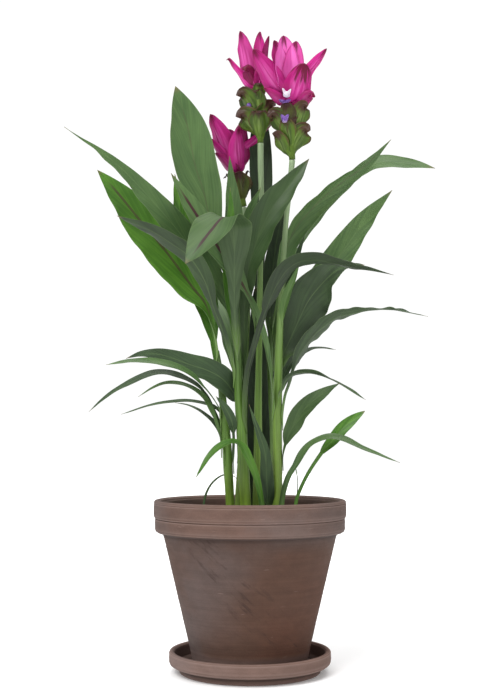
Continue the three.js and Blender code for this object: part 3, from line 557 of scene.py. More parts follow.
@dataclass(frozen=True)
class LeafFinish:
    """A leaf's surface: veins along the blade, a rib, a pale margin and a stripe."""

    name: str
    upper: Rgb
    upper_deep: Rgb
    under: Rgb
    under_deep: Rgb
    foot: Rgb = (100, 136, 58)
    rib: Rgb = (112, 138, 84)
    stripe: Rgb = (62, 34, 34)
    margin: Rgb = (124, 146, 96)
    dry: Rgb = (120, 104, 74)
    roughness: float = 0.5

    SEED_STEP = 37.0
    LINES = (0.75, 0.02)
    BROAD = (0.28, 0.012)
    PATCHES = 22.0
    RIB_HALF = 0.9
    RIB_SHARE = 0.22
    STRIPE_HALF = 0.45
    MARGIN = (0.95, 0.99)
    MARGIN_SHARE = 0.3
    DRY = (0.965, 1.0)
    DRY_SHARE = 0.7
    TONE_SHARE = 0.4
    RELIEF = 0.00015

    def material(self) -> bpy.types.Material:
        """Builds the material.

        The veins leave the rib at a narrow angle: the mark "vein" counts the millimetres across
        them, so stretched noise on it draws streaks that follow them. Broader noise on the
        object's coordinates makes patches of the deeper colour. "stripe" paints the red-brown
        band on the rib of the upper face, "foot" the pale base, "tone" each leaf's lightness:
        partly its own shade of green, and partly painted shade on leaves that lie in shadow.

        Returns:
            The material.
        """
        g = Graph(self.name)
        along, across, reach = g.mark("along"), g.mark("across"), g.mark("reach")
        vein, run, under = g.mark("vein"), g.mark("run"), g.mark("under")
        offset = g.times(g.mark("seed"), self.SEED_STEP)
        lines = g.streaks(vein, run, offset, self.LINES, 1.0)
        broad = g.streaks(vein, run, offset, self.BROAD, 2.0)
        patches = g.noise(g.place, self.PATCHES, 3.0)
        deep = g.band(g.add(g.times(broad, 0.6), g.times(patches, 0.4)), 0.36, 0.64)
        upper = g.mix(deep, self.upper_deep, self.upper)
        lower = g.mix(deep, self.under_deep, self.under)
        g.color = g.mix(under, upper, lower)
        g.vary(lines, 0.93, 1.07)
        distance = g.size(reach)
        ribline = g.times(g.band(distance, self.RIB_HALF, 0.25), g.band(along, 0.97, 0.8))
        g.paint(self.rib, ribline, self.RIB_SHARE)
        width = g.add(self.STRIPE_HALF, g.mark("stripe"))
        edge = g.math("DIVIDE", g.add(distance, g.times(lines, 0.5)), width)
        g.paint(self.stripe, g.band(edge, 1.6, 1.2), g.mark("stripe"), g.rest(under))
        g.paint(self.margin, g.band(g.size(across), *self.MARGIN), self.MARGIN_SHARE)
        g.paint(self.dry, g.band(along, *self.DRY), self.DRY_SHARE)
        foot = g.mix(g.band(lines, 0.35, 0.65), self.foot, self.rib)
        g.paint(foot, g.mark("foot"), g.spread(patches, 0.75, 1.0))
        g.tone(self.TONE_SHARE)
        g.bump(g.add(lines, g.times(ribline, -0.5)), self.RELIEF, 0.4)
        return g.finish(g.spread(patches, self.roughness - 0.07, self.roughness + 0.08), 0.34)


@dataclass(frozen=True)
class StemFinish:
    """A stem's surface: pale at the foot and streaked along its length."""

    name: str
    low: Rgb
    middle: Rgb
    high: Rgb
    roughness: float = 0.45

    STREAKS = (420, 420, 9)
    PATCHES = (60, 60, 14)
    DEPTH = 0.94
    RELIEF = 0.0003

    def material(self) -> bpy.types.Material:
        """Builds the material.

        "along" carries the colour from low to middle to high, and noise stretched upright draws
        the streaks.

        Returns:
            The material.
        """
        g = Graph(self.name)
        along = g.mark("along")
        streak = g.noise(g.mapped(self.STREAKS), 1.0, 3.0)
        patches = g.noise(g.mapped(self.PATCHES), 1.0, 2.0)
        g.color = g.mix(g.band(along, 0.0, 0.42), self.low, self.middle)
        g.paint(self.high, g.band(along, 0.4, 0.95))
        g.shade(g.band(streak, 0.32, 0.68, 0.76, 1.16))
        g.vary(patches, 0.86, 1.08)
        g.shade(self.DEPTH)
        g.bump(streak, self.RELIEF, 0.5)
        return g.finish(g.spread(patches, self.roughness - 0.06, self.roughness + 0.08), 0.45)


@dataclass(frozen=True)
class BractFinish:
    """A bract's or petal's surface, from its foot through its body to its tip and rim."""

    name: str
    foot: Rgb
    body: Rgb
    deep: Rgb
    light: Rgb
    tip: Rgb
    rim: Rgb
    inside: Rgb
    foot_end: float = 0.3
    tip_start: float = 0.82
    rim_start: float = 0.9
    rim_share: float = 0.5
    inside_share: float = 0.3
    roughness: float = 0.45
    glow: float = 0.0

    SEED_STEP = 41.0
    FIBRES = (7.0, 1.1)
    WIDE = (1.8, 1.6)
    HEART = 0.1
    LIGHT_SHARE = 0.45
    TIP_REACH = 0.16
    TIP_SHARE = 0.9
    RIM_REACH = 0.09
    TONE_SHARE = 0.35
    RELIEF = 0.0002

    def material(self) -> bpy.types.Material:
        """Builds the material.

        "along" runs from foot to tip and "across" from rim to rim. Noise stretched along the
        bract streaks the body between deep and light, and the light colour down its middle is
        partly its own pale centre and partly a painted highlight; the tip's colour runs down it in
        tongues, further by the mark "burn"; the rim's starts above the foot; "under" is 0 inside
        the cup, which is paler; "shine" lightens a whole bract and "dusk" darkens it; "tone" is a
        little lighter or darker at random, and painted shade on bracts that stand in shadow.

        Returns:
            The material.
        """
        g = Graph(self.name)
        along, across = g.mark("along"), g.mark("across")
        offset = g.times(g.mark("seed"), self.SEED_STEP)
        fibre = g.streaks(across, along, offset, self.FIBRES, 4.0)
        wide = g.streaks(across, along, offset, self.WIDE, 2.0)
        g.color = g.mix(g.band(wide, 0.35, 0.62), self.deep, self.body)
        # The light colour down the middle of the blade, in streaks: partly the bract's own pale
        # centre and partly a painted highlight.
        heart = g.band(g.size(g.math("SUBTRACT", across, self.HEART)), 0.75, 0.1)
        glow = g.times(heart, g.band(along, 0.15, 0.45), g.band(along, 0.95, 0.6))
        g.paint(self.light, glow, g.band(fibre, 0.35, 0.7), self.LIGHT_SHARE)
        g.paint(self.light, g.mark("shine"), g.band(wide, 0.3, 0.6, 0.6, 1.0))
        g.vary(fibre, 0.93, 1.06)
        g.paint(self.inside, g.rest(g.mark("under")), self.inside_share)
        g.paint(self.foot, g.band(along, self.foot_end, 0.02))
        tongue = g.add(along, g.band(fibre, 0.3, 0.75, -0.07, 0.09))
        tongue = g.add(tongue, g.band(g.size(across), 0.0, 0.8, 0.05, -0.05))
        tongue = g.add(tongue, g.times(g.mark("burn"), g.band(g.add(fibre, wide), 0.7, 1.3)))
        start = self.tip_start
        g.paint(self.tip, g.band(tongue, start, start + self.TIP_REACH), self.TIP_SHARE)
        side = g.add(g.size(across), g.spread(wide, -0.05, 0.05))
        rim = g.band(side, self.rim_start, self.rim_start + self.RIM_REACH)
        g.paint(self.rim, rim, g.band(along, 0.25, 0.55), self.rim_share)
        g.paint(self.tip, g.mark("dusk"), g.band(fibre, 0.25, 0.6, 0.6, 1.0))
        g.tone(self.TONE_SHARE)
        g.bump(fibre, self.RELIEF, 0.4)
        rough = g.spread(wide, self.roughness - 0.07, self.roughness + 0.09)
        return g.finish(rough, 0.2, self.glow)


@dataclass(frozen=True)
class ClayFinish:
    """Unglazed clay: turning lines, smoke-grey and red-brown patches, streaks, pale edges.

    The spans are heights and distances in metres, between which a colour comes or goes.
    """

    name: str
    grey: Rgb = (100, 84, 79)
    brown: Rgb = (95, 69, 57)
    red: Rgb = (100, 63, 48)
    dark: Rgb = (50, 38, 34)
    pale: Rgb = (146, 124, 116)
    roughness: float = 0.82

    DISH = (0.028, 0.02)
    WALL_FOOT = (0.024, 0.032)
    WALL_TOP = (0.153, 0.147)
    COLLAR = (0.149, 0.153)
    FLANK = (0.05, 0.1)
    WARM_SIDE = (-0.09, 0.03)
    WARM_BELOW = (0.156, 0.13)
    RED_SIDE = (0.02, 0.09)
    RED_BELOW = (0.15, 0.05)
    RED_ABOVE = (0.02, 0.03)
    STREAK_LEAN = 0.8
    STREAK_MIDDLE = 0.08
    STREAK_REACH = (0.05, 0.01)
    RELIEF = 0.0004

    def material(self) -> bpy.types.Material:
        """Builds the material.

        Noise squeezed in height draws the turning lines. The grey turns brown to the right and
        low down, with broad noise to break the border. Painted shade makes the pot's wall darker
        than its collar, and the collar's flanks darker than its front; painted light makes the
        saucer lighter, and it is greyer too. Slanted stretched noise, cut to its peaks, draws the
        dark streaks, near a line that falls to the right; the finest peaks are pale scratches;
        "edge" lightens the rounded corners, and "shade" is painted shadow under the collar and
        where pot and saucer meet.

        Returns:
            The material.
        """
        g = Graph(self.name)
        x, _, z = g.parts()
        lines = g.noise(g.mapped((5, 5, 900)), 1.0, 3.0)
        bands = g.noise(g.mapped((2.5, 2.5, 150)), 1.0, 2.0)
        mottle = g.noise(g.mapped((55, 55, 110)), 1.0, 3.0, 0.6)
        cloud = g.noise(g.place, 11.0, 4.0)
        wide = g.noise(g.place, 5.0, 2.0)
        grain = g.noise(g.place, 900.0, 2.0)
        side = g.add(x, g.spread(wide, -0.05, 0.05))
        g.color = g.mix(g.band(cloud, 0.38, 0.62, 0.0, 0.55), self.grey, self.brown)
        g.paint(self.brown, g.band(side, *self.WARM_SIDE), g.band(z, *self.WARM_BELOW, 0.1, 1.0))
        low = g.times(g.band(z, *self.RED_BELOW), g.band(z, *self.RED_ABOVE))
        g.paint(self.red, g.band(side, *self.RED_SIDE), low, 0.55)
        # Painted shade and light: the wall is darkened, the saucer lightened and greyed, and the
        # collar's flanks darkened.
        wall = g.times(g.band(z, *self.WALL_FOOT), g.band(z, *self.WALL_TOP))
        dish = g.band(z, *self.DISH)
        flank = g.times(g.band(g.size(x), *self.FLANK), g.band(z, *self.COLLAR))
        g.paint(self.grey, dish, 0.6)
        g.shade(g.add(1.06, g.times(dish, 0.28)))
        g.shade(g.rest(g.times(wall, 0.32)))
        g.shade(g.rest(g.times(flank, 0.22)))
        for noise, low, high in (
            (bands, 0.96, 1.03), (lines, 0.96, 1.04), (mottle, 0.92, 1.07)
        ):
            g.vary(noise, low, high)
        slanted = g.noise(g.mapped((26, 26, 130), (0, -42, 0)), 1.0, 4.0, 0.65)
        fall = g.times(g.math("SUBTRACT", z, self.STREAK_MIDDLE), self.STREAK_LEAN)
        near = g.band(g.size(g.add(x, fall)), *self.STREAK_REACH)
        streak = g.times(g.band(slanted, 0.52, 0.68), near, wall, 0.6)
        g.paint(self.dark, streak)
        scratch = g.noise(g.mapped((60, 60, 420), (0, 4, 0)), 1.0, 1.0)
        g.paint(self.pale, g.band(scratch, 0.75, 0.80), 0.3)
        g.vary(grain, 0.95, 1.05)
        g.paint(self.pale, g.mark("edge"), g.band(cloud, 0.25, 0.6, 0.55, 1.0), 0.6)
        # Painted shadow from the mark "shade": under the collar, and where pot and saucer meet.
        g.paint(self.dark, g.mark("shade"), 0.8)
        relief = g.add(g.times(lines, 0.6), g.times(grain, 0.5))
        g.bump(g.add(relief, g.times(streak, -0.8)), self.RELIEF, 0.7)
        return g.finish(g.spread(cloud, self.roughness - 0.06, self.roughness + 0.08), 0.25)


@dataclass(frozen=True)
class SoilFinish:
    """Damp potting soil, with crumbs of their own shades."""

    name: str
    dark: Rgb = (34, 26, 21)
    light: Rgb = (78, 60, 46)
    roughness: float = 0.92

    TONE_SHARE = 0.6
    RELIEF = 0.0008

    def material(self) -> bpy.types.Material:
        """Builds the material: two sizes of noise between dark and light, and "tone" a crumb's.

        Returns:
            The material.
        """
        g = Graph(self.name)
        grain = g.noise(g.place, 420.0, 4.0)
        clump = g.noise(g.place, 60.0, 3.0)
        share = g.times(g.band(grain, 0.35, 0.7), g.spread(clump, 0.4, 1.0))
        g.color = g.mix(share, self.dark, self.light)
        g.tone(self.TONE_SHARE)
        g.bump(grain, self.RELIEF, 0.9)
        return g.finish(g.spread(clump, self.roughness - 0.1, self.roughness + 0.06), 0.2)


# What grows: stems, leaves, bracts

SEAT_ROOM = 0.7
LEAF_THICKNESS = 0.9
CLASP_LENGTH = 16.0
OPENING_SHARE = 0.3
FACING_SHARE = 0.35
TIP_HALF_WIDTH = 0.25


@dataclass
class Strip:
    """A thin curved blade carried along a line, as the CAD leaves and bracts are.

    Across it is an arc: at the foot it has the foot's radius, and along the blade it opens to
    the half angle called roll.
    """

    curve: Curve
    width: float
    foot_width: float
    foot_arc: float
    stalk: float
    belly: float
    fullness: float
    roll: float
    inward: Vec
    face: Vec
    tip_face: Vec
    rows: int
    columns: int
    clasp: float = 0.0
    tip_turn: tuple[float, float] = (0.45, 0.5)

    def half_width(self, share: np.ndarray) -> np.ndarray:
        """Gives the half width along the strip.

        With b the share of the blade beyond the stalk, it is the foot's half width times
        (1 - b) cubed, plus the blade's times sin(pi b to the belly) to the fullness. A clasping
        foot starts narrow and widens smoothly over the clasp.

        Args:
            share: shares of the strip's length.

        Returns:
            The half width at each.
        """
        blade = np.maximum(0.0, (share - self.stalk) / (1 - self.stalk))
        narrow = self.foot_width / 2 * (1 - blade) ** 3
        if self.clasp:
            narrow = narrow * (0.12 + 0.88 * smooth(share * self.curve.run[-1] / self.clasp))
        arch = np.maximum(0.0, np.sin(math.pi * blade**self.belly))
        return np.maximum(TIP_HALF_WIDTH, narrow + self.width / 2 * arch**self.fullness)

    def normals(self, share: np.ndarray, along: np.ndarray) -> np.ndarray:
        """Turns the upper face from the stem at the foot to the blade's face and the tip's.

        Args:
            share: shares of the strip's length.
            along: the line's direction at each.

        Returns:
            The upper face's direction at each.
        """
        first = level(np.broadcast_to(np.array(self.inward, float), along.shape), along)
        blade = turn_towards(first, self.face, along, smooth(share / FACING_SHARE))
        start, length = self.tip_turn
        late = smooth((share - start) / length)
        return turn_towards(blade, self.tip_face, along, late)

    def grid(self) -> tuple[np.ndarray, np.ndarray, dict[str, np.ndarray]]:
        """Works the middle surface out.

        A point is the line's point, plus the side times r sin(a u), plus the normal times
        r (1 - cos(a u)), with u from -1 to 1, a the half angle and r the half width over a.

        Returns:
            The points, the normals and the marks, each on the rows by columns grid. The marks
            are along (0 foot to 1 tip), across (u), reach (millimetres from the rib) and run
            (millimetres from the foot).
        """
        share = np.linspace(0, 1, self.rows)
        across = np.sin(np.linspace(-1, 1, self.columns) * math.pi / 2)
        parameter = self.curve.by_length(share)
        middle = self.curve.at(parameter)[:, None, :]
        along = self.curve.slope(parameter)
        normal = self.normals(share, along)
        side = np.cross(along, normal)[:, None, :]
        normal = normal[:, None, :]
        half = self.half_width(share)
        opened = smooth((share - self.stalk * 0.5) / OPENING_SHARE)
        angle = self.foot_width / 2 / self.foot_arc * (1 - opened) + self.roll * opened
        turn = angle[:, None] * across[None, :]
        radius = (half / angle)[:, None, None]
        sine, cosine = np.sin(turn)[..., None], np.cos(turn)[..., None]
        points = middle + side * radius * sine + normal * radius * (1 - cosine)
        outward = normal * cosine - side * sine
        ones = np.ones_like(turn)
        marks = {
            "along": share[:, None] * ones,
            "across": across[None, :] * ones,
            "reach": half[:, None] * across[None, :],
            "run": share[:, None] * self.curve.run[-1] * ones,
        }
        return points, outward, marks


@dataclass
class Stem:
    """An upright stem: a ribbed tube along a given line."""

    name: str
    stalk: Stalk
    path: Points
    radii: tuple[float, ...]
    sides: int = 40
    rows: int = 130

    THINNEST = 0.3
    RIBS = ((9, 0.014, 1), (23, 0.008, 2))

    def __post_init__(self) -> None:
        """Makes the line."""
        self.curve = Curve(self.path)

    def at_height(self, height: float) -> tuple[np.ndarray, float]:
        """Gives the axis point at a height and the radius there."""
        share = self.curve.at_height(height)
        return self.curve.at(np.array([share]))[0], float(self.radius(np.array([share]))[0])

    def radius(self, share: np.ndarray) -> np.ndarray:
        """Reads the radius off evenly spaced numbers."""
        return np.interp(share, np.linspace(0, 1, len(self.radii)), self.radii)

    def surface(self, seed: int) -> Surface:
        """Carries a ribbed ring along the line.

        The radius is the stem's own times one plus the ribs, two sines of the angle, each with
        its count, its depth as a share of the radius, and its turn for each seed.

        Args:
            seed: the stem's own number, which turns its ribs.

        Returns:
            The closed tube, with the mark along (0 foot to 1 top).
        """
        share = np.linspace(0, 1, self.rows)
        angle = np.arange(self.sides) / self.sides * 2 * math.pi
        axis = self.curve.at(share)
        along = self.curve.slope(share)
        across = level(np.array([[1.0, 0.0, 0.0]]), along)
        behind = np.cross(along, across)
        ribs = sum(depth * np.sin(count * angle + turn * seed) for count, depth, turn in self.RIBS)
        radius = np.maximum(self.THINNEST, self.radius(share)[:, None] * (1 + ribs))
        ring = across[:, None, :] * np.cos(angle)[None, :, None]
        ring = ring + behind[:, None, :] * np.sin(angle)[None, :, None]
        ends = np.repeat(axis[[0, -1]][:, None, :], self.sides, axis=1)
        points = axis[:, None, :] + ring * radius[..., None]
        points = np.concatenate([ends[:1], points, ends[1:]])
        share = np.concatenate([[0.0], share, [1.0]])
        faces = cells(self.rows + 2, self.sides, wrap=True)
        return Surface(points.reshape(-1, 3), faces, {"along": np.repeat(share, self.sides)})


@dataclass
class Leaf:
    """A pointed leaf that clasps a stem, or one that rises from the soil by itself."""

    number: str
    kind: LeafKind
    width: float
    face: Vec
    path: Points
    stem: str = ""
    side: float = 0.0
    height: float = 0.0
    inward: Vec = (0.0, 0.0, 0.0)
    tip_face: Vec | None = None
    stalk: float = 0.3
    belly: float = 0.85
    fullness: float = 0.95
    foot_width: float = 8.0
    foot_arc: float = 3.0
    roll: float = 0.4
    ripple: float = 0.5
    waves: float = 3.0
    stripe: float = 0.0
    # tone: the whole leaf's lightness, partly its own shade of green and partly painted shade
    # where it lies in shadow
    tone: float = 0.0
    turned: bool = False
    tip_turn: tuple[float, float] = (0.45, 0.5)

    ROWS = 110
    COLUMNS_PER_MM = 0.85
    COLUMNS = (13, 37)
    PALE_SHARE = 0.25
    VEIN_SLOPE = 0.2
    PLEAT = 0.05
    PLEAT_PITCH = 3.1
    CHANNEL = 0.45
    CHANNEL_WIDTH = 1.1
    WAVE_RUN = 150
    EDGE_THICKNESS = 0.28
    BODY_THICKNESS = 0.42
    RIB_THICKNESS = 0.35
    RIB_WIDTH = 1.3

    def strip(self, stems: dict[str, Stem]) -> Strip:
        """Seats the leaf on its stem and gives its strip.

        A clasping leaf's line starts with two seats on the stem's skin, a clasp's length
        apart; its foot is curved round the stem.

        Args:
            stems: the stems by name.

        Returns:
            The strip.
        """
        points = [np.array(point, float) for point in self.path]
        inward, arc = self.inward, self.foot_arc
        if self.stem:
            turn = math.radians(self.side)
            outward = np.array([math.cos(turn), math.sin(turn), 0.0])
            room = SEAT_ROOM + LEAF_THICKNESS / 2
            seats = []
            for rise in (0.0, CLASP_LENGTH):
                axis, radius = stems[self.stem].at_height(self.height + rise)
                seats.append(axis + outward * (radius + room))
                if rise == 0.0:
                    arc = radius + room
            points = seats + points
            inward = tuple(-outward)
        return Strip(
            Curve(points), self.width, self.foot_width, arc, self.stalk, self.belly,
            self.fullness, self.roll, inward, self.face, self.tip_face or self.face,
            rows=self.ROWS,
            columns=int(np.clip(self.width * self.COLUMNS_PER_MM, *self.COLUMNS)) | 1,
            clasp=CLASP_LENGTH * 1.25 if self.stem else 0.0, tip_turn=self.tip_turn,
        )

    def surface(self, stems: dict[str, Stem], seed: int) -> Surface:
        """Dresses the strip with a rib, veins and a waved margin.

        The surface moves along its normals by: the rib's channel, a bell of the distance from
        it; the veins' pleats, a sine of the vein count; the margin's waves, two sines of the
        run that grow with the square of the distance across; and one slow swell. The leaf is
        thickest at the rib and thins to its margin.

        Args:
            stems: the stems by name.
            seed: the leaf's own number, which sets its waves.

        Returns:
            The closed blade, with the marks that its finish reads.
        """
        strip = self.strip(stems)
        points, normals, marks = strip.grid()
        draw = np.random.default_rng(SEED + seed)
        phase = draw.uniform(0, 2 * math.pi, 4)
        along, across, reach = marks["along"], marks["across"], marks["reach"]
        blade = smooth((along - self.stalk * 0.6) / 0.25) * smooth((1 - along) / 0.12)
        breadth = np.clip(self.width / 20, 0.3, 2.2)
        marks["vein"] = np.abs(reach) - marks["run"] * self.VEIN_SLOPE
        pleats = self.PLEAT * np.sin(marks["vein"] * 2 * math.pi / self.PLEAT_PITCH)
        pleats = pleats * np.clip(breadth, 0, 1)
        channel = np.exp(-((reach / self.CHANNEL_WIDTH) ** 2)) * self.CHANNEL
        channel = channel * np.clip(breadth, 0.3, 1)
        turns = marks["run"] * 2 * math.pi * self.waves / self.WAVE_RUN
        edge = np.sin(turns + phase[0] + 0.6 * np.sign(across))
        edge = edge + 0.6 * np.sin(1.9 * turns + phase[1] - 0.8 * np.sign(across))
        waves = self.ripple * breadth * edge * across**2
        swell = 0.5 * breadth * np.sin(4.2 * along + phase[2]) * (1 - across**2)
        lift = (pleats - channel + waves + swell * 0.4) * blade
        points = points + normals * lift[..., None]
        rib = self.RIB_THICKNESS * np.exp(-((reach / self.RIB_WIDTH) ** 2))
        thickness = self.EDGE_THICKNESS + self.BODY_THICKNESS * (1 - across**2) + rib
        thickness = thickness * np.clip((1 - along) / 0.05, 0.35, 1)
        flat = np.ones_like(along)
        marks["foot"] = smooth((self.PALE_SHARE - along) / self.PALE_SHARE * 1.2)
        marks["seed"] = flat * (seed % 17) / 17
        marks["tone"] = flat * self.tone
        stripe = smooth((along - self.stalk * 0.8) / 0.15) * smooth((0.97 - along) / 0.1)
        marks["stripe"] = flat * self.stripe * stripe
        whole = closed_blade(points, normals, thickness, marks)
        if self.turned:
            whole.marks["under"] = 1 - whole.marks["under"]
        return whole


@dataclass(frozen=True)
class Bract:
    """One bract: where it leaves its spike, how far it rises and reaches, and its curl."""

    turn: float
    foot: float
    rise: float
    reach: float
    width: float
    curl: float = 0.0
    roll: float = 0.95
    twist: float = 0.0
    bow: float = 1.0
    fullness: float = 0.6
    dusk: float = 0.0
    burn: float = 0.0
    shine: float = 0.0
    # tone: a bract's lightness; on the third bloom, which stands behind, it is painted shade
    tone: float = 0.0

    GRID = (40, 29)
    SMALL_GRID = (20, 13)
    TONE_SPREAD = 0.2
    RIM_ROLL = 0.33
    BOWED = np.array([(0.48, 0.22), (0.78, 0.66)])
    STRAIGHT = np.array([(0.27, 0.30), (0.68, 0.68)])
    BULGING = np.array([(0.50, 0.22), (0.70, 0.58), (0.80, 0.90)])
    TRUMPET = np.array([(0.20, 0.36), (0.44, 0.70), (0.74, 0.98)])

    def line(self, kind: BractKind) -> np.ndarray:
        """Gives the middle line beside an upright spike.

        It runs from the spike's skin to the tip by shares of the reach and the rise. The bow is
        how far those shares lie from the straight line's or trumpet's to the full curve's.

        Args:
            kind: what it is a part of; a green bract's line flares like a trumpet.

        Returns:
            The points.
        """
        if kind is BractKind.GREEN:
            shares = self.TRUMPET + (self.BULGING - self.TRUMPET) * self.bow
            ends = [(self.reach, self.rise - self.curl)]
        else:
            shares = self.STRAIGHT + (self.BOWED - self.STRAIGHT) * self.bow
            ends = [(self.reach, self.rise - self.curl * 0.4)]
            if self.curl > 0:
                ends.append((self.reach + self.curl * 0.55, self.rise - self.curl))
        around = math.radians(self.turn)
        pairs = np.array([(1.0, 0.0), *(shares * (self.reach, self.rise)), *ends])
        out, up = pairs[:, :1], pairs[:, 1:]
        flat = np.array([[math.cos(around), math.sin(around), 0.0]])
        return flat * out + np.array([[0.0, 0.0, 1.0]]) * (up + self.foot)

    def surface(self, kind: BractKind, seed: int) -> Surface:
        """Builds the bract beside an upright spike.

        A twist turns its face, in degrees, away from where it leans. Lengthwise ribs are a
        cosine across; a green bract's rim rolls outwards beyond two thirds of the half width,
        by a third of that half width; a pink one's margin waves.

        Args:
            kind: what it is a part of.
            seed: its own number.

        Returns:
            The closed blade in the spike's frame.
        """
        draw = np.random.default_rng(SEED + seed)
        around = math.radians(self.turn)
        inward = (-math.cos(around), -math.sin(around), 0.0)
        facing = around + math.radians(self.twist)
        face = (-math.cos(facing), -math.sin(facing), 0.0)
        small = kind in (BractKind.WHITE, BractKind.VIOLET)
        belly, point = (1.25, 1.5) if kind is BractKind.GREEN else (0.85, 1.0)
        rows, columns = self.SMALL_GRID if small else self.GRID
        strip = Strip(
            Curve(self.line(kind)), self.width, 3.0, 4.0, 0.0, belly, self.fullness * point,
            self.roll, inward, face, face, rows, columns,
        )
        grid, normals, marks = strip.grid()
        along, across, reach = marks["along"], marks["across"], marks["reach"]
        blade = smooth(along / 0.2) * smooth((1 - along) / 0.15)
        phase = draw.uniform(0, 2 * math.pi, 3)
        edge = np.sin(marks["run"] / 5.5 + phase[0] + np.sign(across))
        edge = edge + 0.5 * np.sin(marks["run"] / 2.9 + phase[1] - np.sign(across))
        if kind is BractKind.GREEN:
            ribs = 0.14 * np.cos(reach * 2 * math.pi / 3.4) * blade
            lip = smooth((np.abs(across) - 0.55) / 0.45) ** 1.5 * smooth((along - 0.3) / 0.35)
            lip = -self.RIM_ROLL * np.abs(reach[:, -1:]) * lip
            lift = ribs + lip + 0.2 * edge * across**2 * blade
        else:
            ribs = 0.05 * np.cos(reach * 2 * math.pi / 2.6) * blade
            keel = -0.3 * np.exp(-((reach / 1.8) ** 2)) * blade
            lift = ribs + keel + (0.55 * edge * across**2) * blade * (0.3 if small else 1)
        grid = grid + normals * lift[..., None]
        thickness = 0.3 + 0.5 * (1 - across**2) * (1 - 0.6 * along)
        flat = np.ones_like(along)
        marks["seed"] = flat * draw.uniform(0, 1)
        marks["tone"] = flat * (self.tone + draw.uniform(-self.TONE_SPREAD, self.TONE_SPREAD))
        for mark in ("dusk", "burn", "shine"):
            marks[mark] = flat * getattr(self, mark)
        return closed_blade(grid, normals, thickness, marks)


def tube(start: float, end: float, radius: float, rows: int = 12, sides: int = 24) -> Surface:
    """Gives an upright closed tube that tapers to four fifths, with the bracts' marks.

    Args:
        start: the height of its foot.
        end: the height of its top.
        radius: its radius at the foot.
        rows: how many rings it has.
        sides: how many points a ring has.

    Returns:
        The tube, dusky above its foot.
    """
    share = np.linspace(0, 1, rows)
    angle = np.arange(sides) / sides * 2 * math.pi
    width = radius * (1 - 0.2 * share) * np.clip((1 - share) / 0.08, 0.3, 1)
    width = np.concatenate([[0.0], width, [0.0]])[:, None]
    height = start + (end - start) * np.concatenate([[0.0], share, [1.0]])[:, None]
    one = np.ones((rows + 2, sides))
    points = np.stack([width * np.cos(angle), width * np.sin(angle), height * one], -1)
    marks = {"along": one * 0.3, "across": one * 0.2, "seed": one * 0.5, "tone": one * -0.2}
    dusk = 0.9 * smooth((height - start) / (end - start) * 2.5 - 0.6)
    marks |= {"under": one, "dusk": one * dusk, "burn": one * 0, "shine": one * 0}
    faces = cells(rows + 2, sides, wrap=True)
    return Surface(points.reshape(-1, 3), faces, {k: v.ravel() for k, v in marks.items()})


@dataclass(frozen=True)
class Head:
    """Bracts or petals round a spike that stands on a base and points at a top."""

    name: str
    node: str
    kind: BractKind
    base: Vec
    top: Vec
    bracts: tuple[Bract, ...]
    start: float
    end: float
    radius: float

    def surface(self, seed: int) -> Surface:
        """Builds the head in its spike's frame and turns that frame onto the line to the top.

        The turn is the shortest one from +Z to the line: 1 + K + K squared / (1 + c), with K
        the cross matrix of Z and the line, and c their dot product.

        Args:
            seed: the head's own number.

        Returns:
            The bracts and the spike, as one surface in the plant's frame.
        """
        parts = [b.surface(self.kind, seed + 7 * i) for i, b in enumerate(self.bracts)]
        parts.append(tube(self.start, self.end, self.radius))
        foot = np.array(self.base, float)
        line = unit(np.array(self.top, float) - foot)
        x, y, z = np.cross((0.0, 0.0, 1.0), line)
        cross = np.array([[0, -z, y], [z, 0, -x], [-y, x, 0]])
        spin = np.eye(3) + cross + cross @ cross / (1 + line[2])
        return Surface.joined(parts).placed(spin, foot)


# What is turned on a wheel: pot and saucer, and the soil's bed


def rounded(profile: Points | list, guard: float, passes: int = 2) -> np.ndarray:
    """Rounds a profile's corners by cutting them.

    Each edge first gets a point a guard's length from each end, so that a cut stays short.
    Each pass then puts two points on every edge, at a quarter and three quarters of it.

    Args:
        profile: radius and height, point by point.
        guard: how far a corner's rounding reaches, in millimetres.
        passes: how many times the corners are cut.

    Returns:
        The rounded profile, with its two ends kept.
    """
    line = np.array(profile, float)
    edge = np.diff(line, axis=0)
    length = np.linalg.norm(edge, axis=1, keepdims=True)
    reach = np.minimum(guard / length, 0.33)
    stops = np.stack([line[:-1], line[:-1] + edge * reach, line[1:] - edge * reach], 1)
    line = np.vstack([stops.reshape(-1, 2), line[-1:]])
    for _ in range(passes):
        low = line[:-1] * 0.75 + line[1:] * 0.25
        high = line[:-1] * 0.25 + line[1:] * 0.75
        cut = np.stack([low, high], 1).reshape(-1, 2)
        line = np.vstack([line[:1], cut, line[-1:]])
    return line


def spaced(line: np.ndarray, longest: float) -> np.ndarray:
    """Adds evenly spaced points to each step of a profile that is longer than a length.

    Args:
        line: the profile.
        longest: the longest step that stays.

    Returns:
        The profile with its added points.
    """
    steps = np.linalg.norm(np.diff(line, axis=0), axis=1)
    line = line[np.concatenate([[True], steps > 1e-4])]
    run = np.concatenate([[0.0], np.cumsum(np.linalg.norm(np.diff(line, axis=0), axis=1))])
    counts = np.maximum(1, np.ceil(np.diff(run) / longest).astype(int))
    starts = np.repeat(run[:-1], counts)
    order = np.arange(counts.sum()) - np.repeat(np.cumsum(counts) - counts, counts)
    stops = starts + order * np.repeat(np.diff(run) / counts, counts)
    stops = np.append(stops, run[-1])
    return np.stack([np.interp(stops, run, line[:, k]) for k in (0, 1)], 1)


def turned(line: np.ndarray, sides: int, wobble: np.ndarray) -> np.ndarray:
    """Turns a profile round the upright axis.

    Args:
        line: radius and height, point by point.
        sides: how many times each point is repeated round the axis.
        wobble: what is added to the radius, for each point or for each point and side.

    Returns:
        Points by sides by 3.
    """
    angle = np.arange(sides) / sides * 2 * math.pi
    radius = np.maximum(0.0, line[:, :1] + wobble * (line[:, :1] > 0.01))
    height = line[:, 1:] * np.ones(sides)
    return np.stack([radius * np.cos(angle), radius * np.sin(angle), height], -1)


